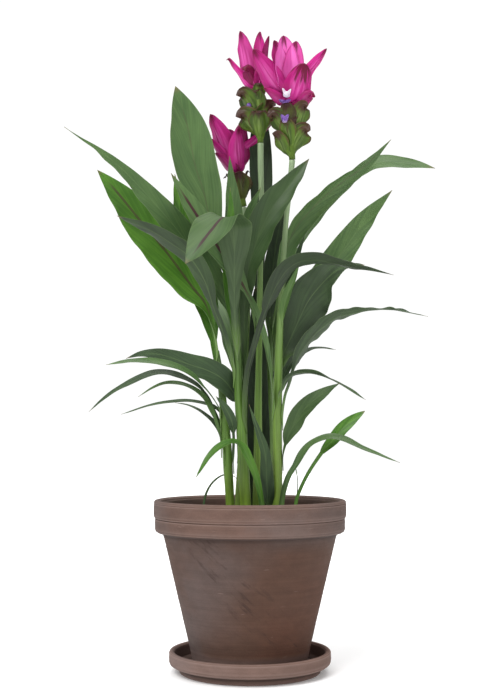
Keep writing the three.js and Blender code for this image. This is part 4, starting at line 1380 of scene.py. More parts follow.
@dataclass(frozen=True)
class Wheelwork:
    """A clay form turned from a profile, with turning marks and softly worn corners."""

    name: str
    node: str
    profile: Points
    guard: float
    shaded: tuple[tuple[float, float], ...] = ()

    SIDES = 160
    LONGEST = 2.2
    WOBBLE = 0.05
    TURNS = ((0.9, 0.7), (1.7, 1.3), (2.9, 2.1), (4.3, 0.4))
    EDGE_GAIN = 3.2

    def surface(self) -> Surface:
        """Turns the rounded profile.

        The radius wobbles by four slow sines of height, each with its pitch, that also lean
        with the angle. "edge" grows with the profile's bend, as the sine of the angle between
        two steps, on corners that stand out; "shade" marks bands, each by its height and reach:
        painted shadow under the pot's collar, and painted shade where pot and saucer meet.

        Returns:
            The closed form.
        """
        line = spaced(rounded(self.profile, self.guard), self.LONGEST)
        angle = np.arange(self.SIDES) / self.SIDES * 2 * math.pi
        height = line[:, 1:]
        wobble = sum(
            self.WOBBLE * np.sin(height * pitch + lean * np.sin(angle + lean))
            for pitch, lean in self.TURNS
        )
        points = turned(line, self.SIDES, wobble)
        step = np.gradient(line, axis=0)
        step = step / np.maximum(np.linalg.norm(step, axis=1, keepdims=True), 1e-9)
        bend = np.zeros(len(line))
        bend[1:-1] = step[:-2, 0] * step[2:, 1] - step[:-2, 1] * step[2:, 0]
        edge = np.clip(np.convolve(bend, np.ones(5) / 5, "same") * self.EDGE_GAIN, 0, 1)
        shade = np.zeros(len(line))
        for middle, reach in self.shaded:
            near = np.exp(-(((line[:, 1] - middle) / reach) ** 2))
            shade = np.maximum(shade, near)
        marks = {"edge": np.repeat(edge, self.SIDES), "shade": np.repeat(shade, self.SIDES)}
        faces = cells(len(line), self.SIDES, wrap=True)
        return Surface(points.reshape(-1, 3), faces[:, ::-1], marks)


@dataclass(frozen=True)
class SoilBed:
    """The soil: a block that fills the pot, with a lumpy top and loose crumbs."""

    name: str = "soil_bed"
    top: float = 168.0
    lump: float = 1.6
    foot: float = 56.0
    floor: float = 15.6
    corner: float = 6.0
    corner_rise: float = 5.0
    neck: float = 151.0
    edge: float = 95.9
    crumbs: int = 900
    sides: int = 144
    rings: int = 60

    def lumps(self, x: np.ndarray, y: np.ndarray) -> np.ndarray:
        """Gives the top's height over its level: two crossed waves, and finer ones for clods.

        Args:
            x: places to the right, in millimetres.
            y: places to the back.

        Returns:
            The height at each place.
        """
        broad = np.sin(x * 0.13 + 1.3) * np.cos(y * 0.11) + 0.6 * np.sin((x + y) * 0.21)
        fine = np.sin(x * 0.71 + 2 * np.sin(y * 0.33)) * np.sin(y * 0.63 + 2 * np.sin(x * 0.29))
        grain = np.sin(x * 1.9 + y * 0.7) * np.sin(y * 2.1 - x * 0.9)
        return self.lump * broad * 0.8 + 0.7 * fine + 0.35 * grain

    def surface(self) -> Surface:
        """Turns the block and lays the crumbs on it.

        A crumb is a twelve-cornered ball stretched at random; each lies half sunk in the top,
        at a radius that is the square root of an even draw.

        Returns:
            The bed and its crumbs, as one surface.
        """
        ring = np.linspace(1, 0, self.rings)
        top = np.stack([self.edge * ring, np.full(self.rings, self.top)], 1)
        wall = [(0, self.floor), (self.foot - self.corner, self.floor),
                (self.foot, self.floor + self.corner_rise), (self.edge, self.neck)]
        line = np.vstack([wall, top])
        points = turned(line, self.sides, np.zeros((len(line), 1))).reshape(-1, 3)
        high = points[:, 2] > self.top - 1
        inner = smooth((self.edge - np.hypot(points[:, 0], points[:, 1])) / 3)
        points[:, 2] += high * self.lumps(points[:, 0], points[:, 1]) * (0.4 + 0.6 * inner)
        faces = cells(len(line), self.sides, wrap=True)
        bed = Surface(points, faces, {"tone": np.zeros(len(points))})
        return Surface.joined([bed, self.crumb_field()])

    def crumb_field(self) -> Surface:
        """Scatters the crumbs: each a ball of twenty triangles, with its own size and stretch.

        Returns:
            All the crumbs as one surface.
        """
        draw = np.random.default_rng(SEED)
        golden = (1 + 5**0.5) / 2
        a, b = 1.0, golden
        corners = np.array([
            (-a, b, 0), (a, b, 0), (-a, -b, 0), (a, -b, 0), (0, -a, b), (0, a, b),
            (0, -a, -b), (0, a, -b), (b, 0, -a), (b, 0, a), (-b, 0, -a), (-b, 0, a),
        ])
        corners = unit(corners)
        threes = np.array([
            (0, 11, 5), (0, 5, 1), (0, 1, 7), (0, 7, 10), (0, 10, 11), (1, 5, 9), (5, 11, 4),
            (11, 10, 2), (10, 7, 6), (7, 1, 8), (3, 9, 4), (3, 4, 2), (3, 2, 6), (3, 6, 8),
            (3, 8, 9), (4, 9, 5), (2, 4, 11), (6, 2, 10), (8, 6, 7), (9, 8, 1),
        ])
        count = self.crumbs
        away = (self.edge - 4) * np.sqrt(draw.uniform(0, 1, count))
        angle = draw.uniform(0, 2 * math.pi, count)
        x, y = away * np.cos(angle), away * np.sin(angle)
        size = 0.6 + 1.9 * draw.uniform(0, 1, count) ** 3
        stretch = draw.uniform(0.6, 1.25, (count, 1, 3))
        rough = draw.uniform(0.8, 1.15, (count, 12, 1))
        balls = corners[None] * rough * stretch * size[:, None, None]
        middle = np.stack([x, y, self.top + self.lumps(x, y) + 0.15 * size], 1)
        points = (balls + middle[:, None, :]).reshape(-1, 3)
        threes = np.hstack([threes, threes[:, 2:]])
        faces = (threes[None] + 12 * np.arange(count)[:, None, None]).reshape(-1, 4)
        tone = np.repeat(draw.uniform(-1, 1, count), 12)
        return Surface(points, faces, {"tone": tone})


HEADS_SEAM = 0.3
FLORET_THROAT = 4.0


def bloom(
    number: int, base: Vec, top: Vec, waist: float, crown: float, spike: float,
    green: tuple[Bract, ...], pink: tuple[Bract, ...],
) -> tuple[Head, Head]:
    """Gives a bloom's two heads: green bracts up to its waist, and pink ones above it.

    Args:
        number: the bloom's own number.
        base: where its spike stands.
        top: what its spike points at.
        waist: how high up the spike the green bracts end.
        crown: how high up it the spike itself ends.
        spike: the spike's radius.
        green: the green bracts.
        pink: the pink bracts.

    Returns:
        The green head and the pink one.
    """
    return (
        Head(f"bloom_{number}_green", f"green_bracts_{number}", BractKind.GREEN, base, top,
             green, 0.0, waist, spike),
        Head(f"bloom_{number}_pink", f"pink_bracts_{number}", BractKind.PINK, base, top,
             pink, waist + HEADS_SEAM, crown, spike),
    )


def floret(
    node: str, kind: BractKind, base: Vec, top: Vec, radius: float, petals: tuple[Bract, ...]
) -> Head:
    """Gives a floret: petals round a short throat."""
    return Head(f"{node}_petals", node, kind, base, top, petals, 0.0, FLORET_THROAT, radius)


STEMS = (
    Stem("stem_left", Stalk.LEAFY, radii=(4.6, 4.8, 5.2, 5.2, 4.4, 3.6, 1), path=(
         (-21, -4, 150), (-22, -5, 185), (-24, -7, 219), (-26, -8, 252), (-29, -8, 285),
         (-33, -8, 325), (-35, -9, 350))),
    Stem("stem_front", Stalk.LEAFY, radii=(5.8, 6, 6.2, 5.8, 4.8, 4.4, 4.2, 0.8), path=(
         (-3, -14, 150), (-5, -14, 183), (-7, -15, 219), (-9, -16, 257), (-12, -17, 295),
         (-13, -17, 322), (-14, -17, 351), (-16, -18, 376))),
    Stem("stem_middle", Stalk.SCAPE, radii=(5.4, 5.2, 5, 4.4, 3.6, 3.4, 3, 2.9, 3.3, 3.4), path=(
         (7, 15, 150), (8, 15, 185), (9, 16, 235), (9, 16, 285), (10, 15, 340), (11, 15, 414),
         (12, 14, 472), (13, 12, 520), (12, 10, 562), (12, 10, 587))),
    Stem("stem_right", Stalk.SCAPE, radii=(5.6, 5.6, 5.6, 5.2, 4.6, 4.3, 3.4, 3, 2.8, 2.9, 3.3),
         path=(
         (31, -6, 150), (30, -6, 185), (30, -6, 225), (30, -7, 272), (31, -8, 318), (32, -8, 351),
         (34, -8, 395), (37, -9, 451), (40, -11, 493), (44, -13, 530), (47, -14, 562))),
    Stem("stem_rear_left", Stalk.SCAPE, radii=(5, 5, 5, 4.4, 3.8, 3.4, 3, 3), path=(
         (-13, 22, 150), (-12, 23, 185), (-8, 27, 240), (-4, 31, 296), (-3, 34, 365),
         (-4, 35, 434), (-6, 33, 485), (-7, 31, 518))),
    Stem("stem_rear_right", Stalk.LEAFY, radii=(5, 5, 4.8, 4.2, 3.6, 0.8), path=(
         (18, 34, 150), (19, 35, 180), (21, 38, 240), (22, 39, 297), (23, 39, 354),
         (23, 39, 392))),
)

GREEN, BRIGHT, DARK = LeafKind
# Strongly negative tones are painted shade on leaves in shadow, such as 11 and 41 behind the stems
# and 12.
LEAVES = (
    Leaf("01", GREEN, width=50, face=(0.15, -1, 0.1), stem="stem_rear_left", side=180, height=370,
         stalk=0.22, belly=1.6, fullness=0.9, ripple=0.25, stripe=0.3, tone=0.05, path=(
         (-20, 20, 421), (-31, 15, 452), (-42, 13, 483), (-52, 11, 530), (-62, 9, 561),
         (-71, 4, 606), (-84, -4, 649))),
    Leaf("02", BRIGHT, width=50, face=(0.1, -0.9, 0.3), stem="stem_left", side=200, height=332,
         stalk=0.18, belly=1.0, fullness=0.9, ripple=0.3, stripe=0.7, tone=0.1, path=(
         (-43, -13, 383), (-50, -9, 403), (-64, -7, 421), (-93, -10, 460), (-121, -16, 493),
         (-144, -22, 521), (-168, -28, 548))),
    Leaf("03", GREEN, width=33, face=(0.2, -0.9, 0.35), stem="stem_rear_left", side=190,
         height=300, stalk=0.28, belly=0.65, fullness=1.45, foot_width=6, tone=-0.05, path=(
         (-27, 2, 404), (-42, -16, 431), (-66, -30, 463), (-82, -38, 483), (-100, -48, 503),
         (-118, -57, 522), (-147, -68, 549), (-197, -78, 583))),
    Leaf("04", DARK, width=22, face=(0.1, 0.7, 0.7), stem="stem_front", side=200, height=308,
         stalk=0.4, tone=-0.25, path=(
         (-24, -22, 352), (-30, -28, 371), (-39, -37, 394), (-49, -46, 424), (-65, -55, 448),
         (-85, -63, 462), (-104, -71, 473), (-140, -82, 487))),
    Leaf("05", GREEN, width=30, face=(0.3, -0.8, 0.4), stem="stem_right", side=-150, height=272,
         stalk=0.5, belly=0.9, stripe=1.0, tone=-0.1, path=(
         (24, -17, 306), (21, -19, 334), (16, -23, 363), (7, -26, 391), (-4, -28, 413),
         (-19, -32, 438), (-35, -41, 460), (-54, -49, 488), (-74, -55, 519), (-85, -57, 538))),
    Leaf("06", GREEN, width=48, face=(0, 0.3, 1), tip_face=(-0.3, -1, 0.6), stem="stem_front",
         side=-90, height=338, stalk=0.18, belly=1.8, foot_width=10, ripple=0.3, stripe=1.0,
         tone=-0.55, tip_turn=(0.6, 0.2), path=(
         (-16, -29, 377), (-17, -35, 406), (-17, -43, 435), (-17, -52, 462), (-19, -62, 480),
         (-27, -73, 487), (-41, -85, 470), (-55, -92, 450), (-67, -96, 434))),
    Leaf("07", BRIGHT, width=30, face=(0.3, -1, 0), stem="stem_left", side=90, height=300,
         stalk=0.25, tone=0.1, path=(
         (-38, 2, 345), (-47, 4, 395), (-59, 4, 440), (-70, 2, 473), (-77, -2, 501),
         (-81, -6, 523), (-84, -8, 548))),
    Leaf("08", GREEN, width=25, face=(0, -1, 0.1), stem="stem_rear_left", side=-140, height=322,
         stalk=0.25, foot_width=5, tone=-0.2, path=(
         (-10, 24, 362), (-13, 12, 396), (-15, 6, 430), (-17, 3, 487), (-20, 0, 531),
         (-23, -4, 569))),
    Leaf("09", BRIGHT, width=15, face=(0, -1, 0.1), stem="stem_front", side=90, height=338,
         stalk=0.25, tone=0.05, path=(
         (-20, -12, 395), (-22, -14, 440), (-22, -17, 478), (-21, -19, 503), (-22, -20, 530))),
    Leaf("10", GREEN, width=18, face=(0.3, -1, 0.1), stem="stem_middle", side=185, height=355,
         stalk=0.35, foot_width=5, path=(
         (3, 4, 394), (-4, -2, 424), (-8, -4, 453), (-6, -9, 475), (-2, -13, 497), (5, -16, 516),
         (12, -16, 531))),
    Leaf("11", DARK, width=27, face=(0, -1, 0), stem="stem_rear_right", side=180, height=325,
         stalk=0.15, belly=2.1, fullness=0.7, ripple=0.2, tone=-1.2, path=(
         (11, 40, 395), (10, 41, 440), (12, 41, 499), (13, 41, 546), (12, 41, 592),
         (11, 40, 645))),
    Leaf("12", GREEN, width=35, face=(-0.1, -1, 0.2), stem="stem_front", side=0, height=285,
         stalk=0.3, belly=1.3, roll=0.75, tone=-1.2, path=(
         (-5, -13, 330), (-6, -14, 365), (-6, -15, 392), (-5, -17, 415), (-2, -21, 438),
         (5, -26, 462), (13, -30, 483), (25, -33, 506), (39, -34, 524), (52, -33, 542),
         (65, -30, 560))),
    Leaf("13", GREEN, width=26, face=(0.2, -0.75, -0.5), stem="stem_rear_right", side=-10,
         height=362, stalk=0.2, foot_width=5, roll=0.9, stripe=0.3, tone=-0.1, path=(
         (32, 29, 410), (37, 28, 446), (44, 26, 476), (54, 20, 494), (67, 12, 509), (84, 4, 525),
         (104, -4, 540), (128, -10, 557), (157, -16, 585))),
    Leaf("14", GREEN, width=20, face=(-0.2, -0.6, 0.8), tip_face=(-0.15, -0.9, 0.4),
         stem="stem_rear_right", side=30, height=330, stalk=0.3, belly=2.0, foot_width=5, path=(
         (33, 42, 405), (39, 43, 430), (51, 48, 462), (71, 49, 495), (97, 45, 529), (125, 36, 558),
         (147, 28, 569), (173, 18, 566), (193, 10, 562), (209, 4, 557))),
    Leaf("15", DARK, width=48, face=(0.1, -1, 0.1), tip_face=(-0.1, -0.6, 0.8), stem="stem_right",
         side=70, height=318, stalk=0.05, belly=1.1, roll=0.3, ripple=0.8, tone=-0.15, turned=True,
         path=(
         (37, 1, 346), (46, 3, 366), (56, 3, 388), (65, 1, 406), (76, -4, 420), (87, -10, 431),
         (96, -16, 438), (104, -21, 441), (113, -27, 442), (125, -32, 442))),
    Leaf("16", GREEN, width=33, face=(-0.2, -0.95, 0.2), stem="stem_right", side=110, height=284,
         stalk=0.22, belly=1.15, tone=-0.15, path=(
         (31, 8, 318), (34, 17, 344), (42, 21, 372), (51, 22, 393), (62, 23, 409), (75, 23, 425),
         (88, 23, 442), (100, 21, 458), (111, 18, 473), (130, 11, 499), (159, -6, 530))),
    Leaf("17", DARK, width=21, face=(-0.3, 0.55, 0.6), tip_face=(0, 0.35, 0.9), stem="stem_front",
         side=-35, height=258, stalk=0.45, belly=0.7, tone=-1.0, path=(
         (-5, -25, 300), (-2, -30, 327), (4, -35, 350), (10, -40, 371), (19, -46, 397),
         (29, -52, 419), (41, -58, 435), (54, -62, 442), (70, -66, 443), (90, -70, 439),
         (113, -76, 433), (132, -80, 429), (150, -84, 424))),
    Leaf("18", DARK, width=10, face=(-0.2, -1, 0.1), stem="stem_rear_right", side=-30, height=300,
         stalk=0.25, foot_width=5, path=(
         (33, 33, 350), (38, 36, 388), (44, 38, 421), (52, 37, 452), (58, 34, 473),
         (66, 30, 498))),
    Leaf("19", BRIGHT, width=10, face=(-0.5, 0.85, 0.1), stem="stem_right", side=-60, height=376,
         stalk=0.1, foot_width=6, path=(
         (41, -21, 412), (48, -25, 428), (54, -26, 445))),
    Leaf("20", DARK, width=20, face=(-0.45, 0.55, 0.5), tip_face=(0, -0.25, 0.95),
         stem="stem_right", side=-20, height=262, stalk=0.3, belly=0.6, foot_width=6, ripple=1.2,
         waves=4, path=(
         (39, -9, 300), (43, -9, 312), (48, -10, 329), (53, -10, 343), (61, -9, 356),
         (72, -9, 369), (85, -7, 380), (99, -5, 389), (112, -3, 392), (136, -5, 396),
         (158, -8, 396), (177, -12, 392), (196, -16, 387))),
    Leaf("21", DARK, width=11, face=(0, -0.4, 0.9), stem="stem_right", side=50, height=288,
         stalk=0.2, foot_width=3, path=(
         (37, 1, 318), (43, 10, 333), (54, 22, 346), (68, 29, 354), (82, 31, 356), (98, 33, 354))),
    Leaf("22", DARK, width=11, face=(0.2, 0.4, 0.9), tip_face=(0, -0.5, 0.85), stem="stem_right",
         side=-75, height=286, stalk=0.2, foot_width=3, ripple=0.9, path=(
         (36, -16, 308), (39, -18, 316), (45, -20, 322), (53, -20, 325), (66, -21, 325),
         (83, -24, 320), (99, -27, 312), (125, -33, 295))),
    Leaf("23", GREEN, width=22, face=(-0.2, -0.8, 0.5), stem="stem_right", side=-20, height=218,
         stalk=0.24, foot_width=4, tone=-1.1, path=(
         (42, -16, 257), (48, -19, 268), (55, -22, 280), (65, -27, 291), (79, -32, 302),
         (97, -37, 313))),
    Leaf("24", BRIGHT, width=14, face=(-0.2, -1, 0.3), inward=(-0.5, -1, 0), stalk=0.58, belly=1.0,
         fullness=0.75, foot_width=4, path=(
         (50, -21, 155), (50, -22, 184), (54, -23, 197), (61, -25, 212), (70, -27, 227),
         (79, -29, 240), (90, -31, 252), (100, -32, 264), (110, -33, 273), (124, -35, 283))),
    Leaf("25", GREEN, width=9, face=(0, -0.6, 0.8), inward=(-0.5, -1, 0), stalk=0.35, tone=-0.5,
         path=(
         (35, -24, 155), (35, -24, 184), (41, -26, 209), (50, -28, 225), (57, -31, 238),
         (64, -34, 246), (74, -38, 252), (86, -42, 255), (100, -46, 253), (118, -51, 244),
         (138, -56, 236), (158, -61, 228))),
    Leaf("26", GREEN, width=2.4, face=(-1, 0, 0), inward=(-1, -0.3, 0), stalk=0.3, foot_width=2,
         path=(
         (50, -12, 155), (51, -12, 186), (52, -12, 207), (50, -10, 222))),
    Leaf("27", BRIGHT, width=11, face=(-0.2, -0.5, 0.85), inward=(-0.3, -1, 0), stalk=0.35,
         belly=1.1, tone=-0.3, path=(
         (15, -31, 155), (13, -32, 184), (7, -34, 211), (-1, -36, 231), (-9, -38, 245),
         (-18, -41, 250), (-32, -45, 245), (-44, -50, 233), (-58, -55, 211))),
    Leaf("28", DARK, width=2, face=(0, -1, 0.2), inward=(0.3, -1, 0), stalk=0.2, foot_width=1.8,
         path=(
         (-51, 8, 155), (-51, 8, 182), (-47, 7, 196), (-39, 6, 207), (-29, 6, 213), (-19, 6, 212),
         (-14, 6, 208))),
    Leaf("29", DARK, width=26, face=(0.1, -0.92, 0.35), stem="stem_rear_left", side=215,
         height=225, stalk=0.35, belly=0.65, path=(
         (-11, 9, 272), (-12, 1, 288), (-18, -7, 303), (-30, -19, 318), (-46, -25, 327),
         (-65, -30, 333), (-84, -34, 340), (-100, -38, 344), (-118, -42, 344), (-133, -46, 339))),
    Leaf("30", GREEN, width=13, face=(0.3, -0.5, 0.8), stem="stem_left", side=215, height=260,
         stalk=0.35, foot_width=5, path=(
         (-34, -17, 286), (-41, -27, 298), (-50, -37, 309), (-64, -45, 322), (-83, -51, 331),
         (-106, -56, 335), (-130, -61, 335), (-152, -66, 331))),
    Leaf("31", DARK, width=13, face=(-0.1, -0.5, 0.85), stem="stem_left", side=180, height=232,
         stalk=0.35, foot_width=6, path=(
         (-35, -8, 271), (-42, -10, 287), (-49, -13, 301), (-59, -18, 312), (-72, -22, 319),
         (-90, -26, 324), (-108, -30, 323), (-128, -34, 314), (-154, -38, 299), (-173, -41, 282))),
    Leaf("32", GREEN, width=9, face=(-0.1, -0.5, 0.85), stem="stem_left", side=-130, height=222,
         stalk=0.35, foot_width=4, path=(
         (-34, -18, 262), (-40, -21, 280), (-48, -25, 295), (-60, -29, 306), (-74, -33, 312),
         (-90, -37, 313), (-106, -40, 307), (-120, -42, 298))),
    Leaf("33", DARK, width=5, face=(0, -0.6, 0.8), stem="stem_left", side=100, height=262,
         stalk=0.2, foot_width=4, path=(
         (-39, -3, 288), (-47, -1, 291), (-61, 1, 294), (-73, 3, 295), (-88, 5, 294),
         (-112, 8, 290), (-144, 11, 280))),
    Leaf("34", DARK, width=5, face=(0, -0.6, 0.8), stem="stem_left", side=100, height=212,
         stalk=0.2, foot_width=4, path=(
         (-32, 3, 258), (-40, 5, 271), (-49, 8, 279), (-59, 12, 286), (-71, 16, 291),
         (-84, 19, 293))),
    Leaf("35", DARK, width=11, face=(0.1, -0.8, 0.4), stem="stem_left", side=-15, height=214,
         stalk=0.5, foot_width=3, path=(
         (-18, -17, 258), (-20, -24, 272), (-28, -29, 288), (-37, -31, 299))),
    Leaf("36", DARK, width=20, face=(0, -1, 0), stem="stem_rear_right", side=90, height=360,
         stalk=0.15, tone=-0.8, path=(
         (24, 55, 424), (27, 57, 453), (31, 56, 482), (37, 53, 508), (47, 48, 532))),
    Leaf("37", DARK, width=12, face=(0.2, -1, 0.1), inward=(0.8, 0.6, 0), stalk=0.1, belly=0.7,
         foot_width=11, foot_arc=7, path=(
         (18, -14, 155), (19, -14, 186), (18, -16, 213), (16, -19, 239), (9, -23, 261),
         (-1, -26, 290))),
    Leaf("38", GREEN, width=30, face=(0, -0.3, 1), stem="stem_rear_right", side=80, height=300,
         stalk=0.25, foot_width=6, path=(
         (28, 56, 380), (32, 74, 430), (36, 100, 470), (40, 130, 486), (42, 160, 480))),
    Leaf("39", GREEN, width=28, face=(0, -0.3, 1), stem="stem_rear_left", side=100, height=260,
         stalk=0.25, path=(
         (-14, 48, 335), (-24, 68, 385), (-36, 94, 415), (-48, 122, 425), (-58, 150, 412))),
    Leaf("40", DARK, width=20, face=(0, -0.3, 1), stem="stem_rear_right", side=100, height=240,
         stalk=0.3, path=(
         (22, 50, 300), (26, 64, 330), (32, 86, 352), (38, 114, 352), (42, 140, 334))),
    Leaf("41", DARK, width=23, face=(0, -1, 0), inward=(0, -1, 0), stalk=0.02, belly=0.9,
         fullness=0.45, foot_width=13, foot_arc=9, ripple=0.2, tone=-1.3, path=(
         (10, 25, 155), (10, 25.5, 186), (10, 26, 240), (9, 26, 300), (8, 26, 360), (7, 25, 425))),
)

BLOOMS = (
    bloom(1, base=(12, 10, 587.4), top=(9, 14, 716), waist=50, crown=78, spike=3.4,
        green=(
            Bract(turn=-97, foot=0, rise=35, reach=17, width=23, curl=5, bow=0.2),
            Bract(turn=-170, foot=1, rise=32, reach=28, width=27, curl=3, twist=40, bow=-0.1),
            Bract(turn=-15, foot=9, rise=36, reach=19, width=25, curl=3, twist=-45, bow=0.2),
            Bract(turn=92, foot=8, rise=32, reach=17, width=26),
            Bract(turn=-112, foot=24, rise=36, reach=14, width=18, curl=5, bow=0.2),
            Bract(turn=-170, foot=26, rise=32, reach=27, width=25, curl=3, twist=35, bow=0.2),
            # Its negative dusk paints this bract paler than the rest: a painted highlight.
            Bract(turn=-92, foot=43, rise=26, reach=14, width=14, curl=6, dusk=-0.8),
            Bract(turn=105, foot=32, rise=30, reach=15, width=24),
        ),
        pink=(
            Bract(turn=-145, foot=58, rise=28, reach=17, width=20, curl=5, twist=45,
                  fullness=0.4, bow=0.2, dusk=0.9),
            Bract(turn=183, foot=54, rise=46, reach=35, width=11, curl=3, twist=35, bow=0.4,
                  burn=0.1),
            Bract(turn=-158, foot=58, rise=71, reach=22, width=25, twist=45, shine=0.2,
                  tone=-0.3),
            Bract(turn=65, foot=66, rise=67, reach=6, width=19, tone=-0.2),
            Bract(turn=5, foot=66, rise=60, reach=13, width=17, twist=-35, dusk=0.6),
            Bract(turn=-45, foot=58, rise=42, reach=12, width=24, dusk=0.3, tone=-0.6),
            Bract(turn=120, foot=58, rise=48, reach=14, width=26, dusk=0.2, tone=-0.6),
        )),
    bloom(2, base=(47, -14, 562.8), top=(40, -20, 705), waist=47, crown=84, spike=3.6,
        green=(
            Bract(turn=186, foot=1, rise=29, reach=21, width=17, twist=40, bow=0.5),
            Bract(turn=-32, foot=1, rise=30, reach=25, width=25, curl=2, twist=-40, bow=-0.2),
            Bract(turn=-122, foot=10, rise=33, reach=17, width=19, curl=5, bow=0.2),
            Bract(turn=90, foot=10, rise=32, reach=16, width=24),
            Bract(turn=-32, foot=26, rise=33, reach=24, width=23, curl=2, twist=-35, bow=0.4),
            Bract(turn=188, foot=18, rise=34, reach=26, width=25, curl=3, twist=40, bow=0.0),
            Bract(turn=75, foot=26, rise=33, reach=17, width=24),
            Bract(turn=-112, foot=31, rise=33, reach=15, width=19, curl=4, bow=0.9, dusk=0.7),
            Bract(turn=-55, foot=14, rise=32, reach=13, width=16, curl=1, bow=0.5),
            Bract(turn=8, foot=18, rise=25, reach=17, width=16, curl=3, twist=-60, bow=0.6),
        ),
        pink=(
            Bract(turn=-20, foot=55, rise=18, reach=26, width=20, curl=7, twist=-40, dusk=0.6),
            Bract(turn=190, foot=64, rise=60, reach=38, width=29, twist=60, bow=0.3, tone=-0.4),
            Bract(turn=-40, foot=60, rise=43, reach=24, width=36, roll=0.8, twist=-30,
                  fullness=0.5, burn=0.3, tone=-0.35),
            Bract(turn=105, foot=72, rise=70, reach=9, width=33, shine=0.95),
            Bract(turn=150, foot=70, rise=67, reach=15, width=28, twist=-30, shine=0.2),
            Bract(turn=35, foot=70, rise=65, reach=14, width=29, twist=40, shine=0.5),
            Bract(turn=2, foot=64, rise=59, reach=45, width=17, twist=-55, bow=-0.2),
            Bract(turn=185, foot=60, rise=21, reach=28, width=17, twist=25, bow=0.6, dusk=0.4),
            Bract(turn=110, foot=58, rise=44, reach=22, width=28),
        )),
    # The third bloom stands behind the others: tone=-0.8 on its pink bracts is painted shade.
    bloom(3, base=(-7, 31, 518.8), top=(-26, 27, 625), waist=34, crown=62, spike=3.4,
        green=(
            Bract(turn=-100, foot=4, rise=36, reach=14, width=26, curl=3, bow=0.5, dusk=0.5),
            Bract(turn=0, foot=9, rise=31, reach=15, width=24, curl=2, bow=0.5, dusk=0.5),
            Bract(turn=180, foot=10, rise=30, reach=18, width=24, curl=4, bow=0.5, dusk=0.7),
            Bract(turn=90, foot=6, rise=32, reach=13, width=27, dusk=0.5),
        ),
        pink=(
            Bract(turn=-168, foot=42, rise=69, reach=20, width=30, twist=50, bow=0.6, tone=-0.8),
            Bract(turn=-50, foot=38, rise=50, reach=15, width=30, tone=-0.8),
            Bract(turn=-5, foot=38, rise=60, reach=17, width=30, twist=-50, dusk=0.6, tone=-0.8),
            Bract(turn=185, foot=38, rise=46, reach=25, width=17, twist=40, bow=0.5, tone=-0.8),
            Bract(turn=190, foot=39, rise=27, reach=22, width=19, twist=25, bow=0.7, dusk=0.3,
                  tone=-0.8),
            Bract(turn=95, foot=42, rise=52, reach=13, width=30, tone=-0.8),
            Bract(turn=6, foot=48, rise=42, reach=50, width=12, twist=-30, bow=-0.4, tone=-0.8),
        )),
)


FLORETS = (
    floret("floret_1", BractKind.VIOLET, (-1, 9.7, 627), (-1, 5.2, 637), 1.0,
           (Bract(turn=-95, foot=0, rise=7, reach=3, width=6),)),
    floret("floret_2_white", BractKind.WHITE, (40.5, -28.9, 629), (40.5, -33.4, 640), 1.6, (
        Bract(turn=20, foot=0, rise=9, reach=5, width=8),
        Bract(turn=160, foot=0, rise=10, reach=5, width=8),
        Bract(turn=-90, foot=0, rise=7, reach=4, width=8),
    )),
    floret("floret_2_lip", BractKind.VIOLET, (38.5, -23.4, 623.9), (38.5, -27.4, 634.9), 1.4,
           (Bract(turn=-90, foot=0, rise=4, reach=11, width=15),)),
    floret("floret_2_lower", BractKind.VIOLET, (38.2, -30, 600.5), (38.2, -33, 611), 1.4, (
        Bract(turn=-35, foot=0, rise=9, reach=5, width=9),
        Bract(turn=-145, foot=0, rise=9, reach=5, width=9),
    )),
)

SAUCER = Wheelwork(
    "saucer_turned", "saucer", guard=1.5, shaded=((6.0, 2.2),), profile=(
        (0, 0), (75.8, 0), (77.0, 0.8), (78.0, 5.2), (79.4, 7.4), (84.6, 7.9), (87.2, 9.6),
        (88.3, 12.5), (88.3, 21.4), (87.1, 23.1), (85.3, 23.6), (83.6, 23.1), (82.3, 21.4),
        (80.8, 10), (76.3, 6), (0, 6),
    ),
)
# The pot's first shaded band is painted shadow under the collar; the second is painted shade at
# its foot in the saucer.
POT = Wheelwork(
    "pot_turned", "pot", guard=1.2, shaded=((149.9, 2.4), (7.0, 2.0)), profile=(
        (11, 6.3), (59.5, 6.3), (61.5, 8.3), (95.2, 148.5), (97.3, 150), (101.4, 151),
        (103.6, 152.4), (104.4, 155), (104.4, 165.3), (103.6, 166.2), (105.0, 167.1),
        (105.8, 170.0), (105.8, 182.0), (105.2, 182.7), (105.7, 183.5), (105.4, 184.6),
        (104.6, 185.6), (102.4, 186.2), (99.2, 185), (97.3, 182), (96.3, 151),
        (56.2, 20.3), (50.2, 15.3), (11, 15.3), (11, 6.3),
    ),
)


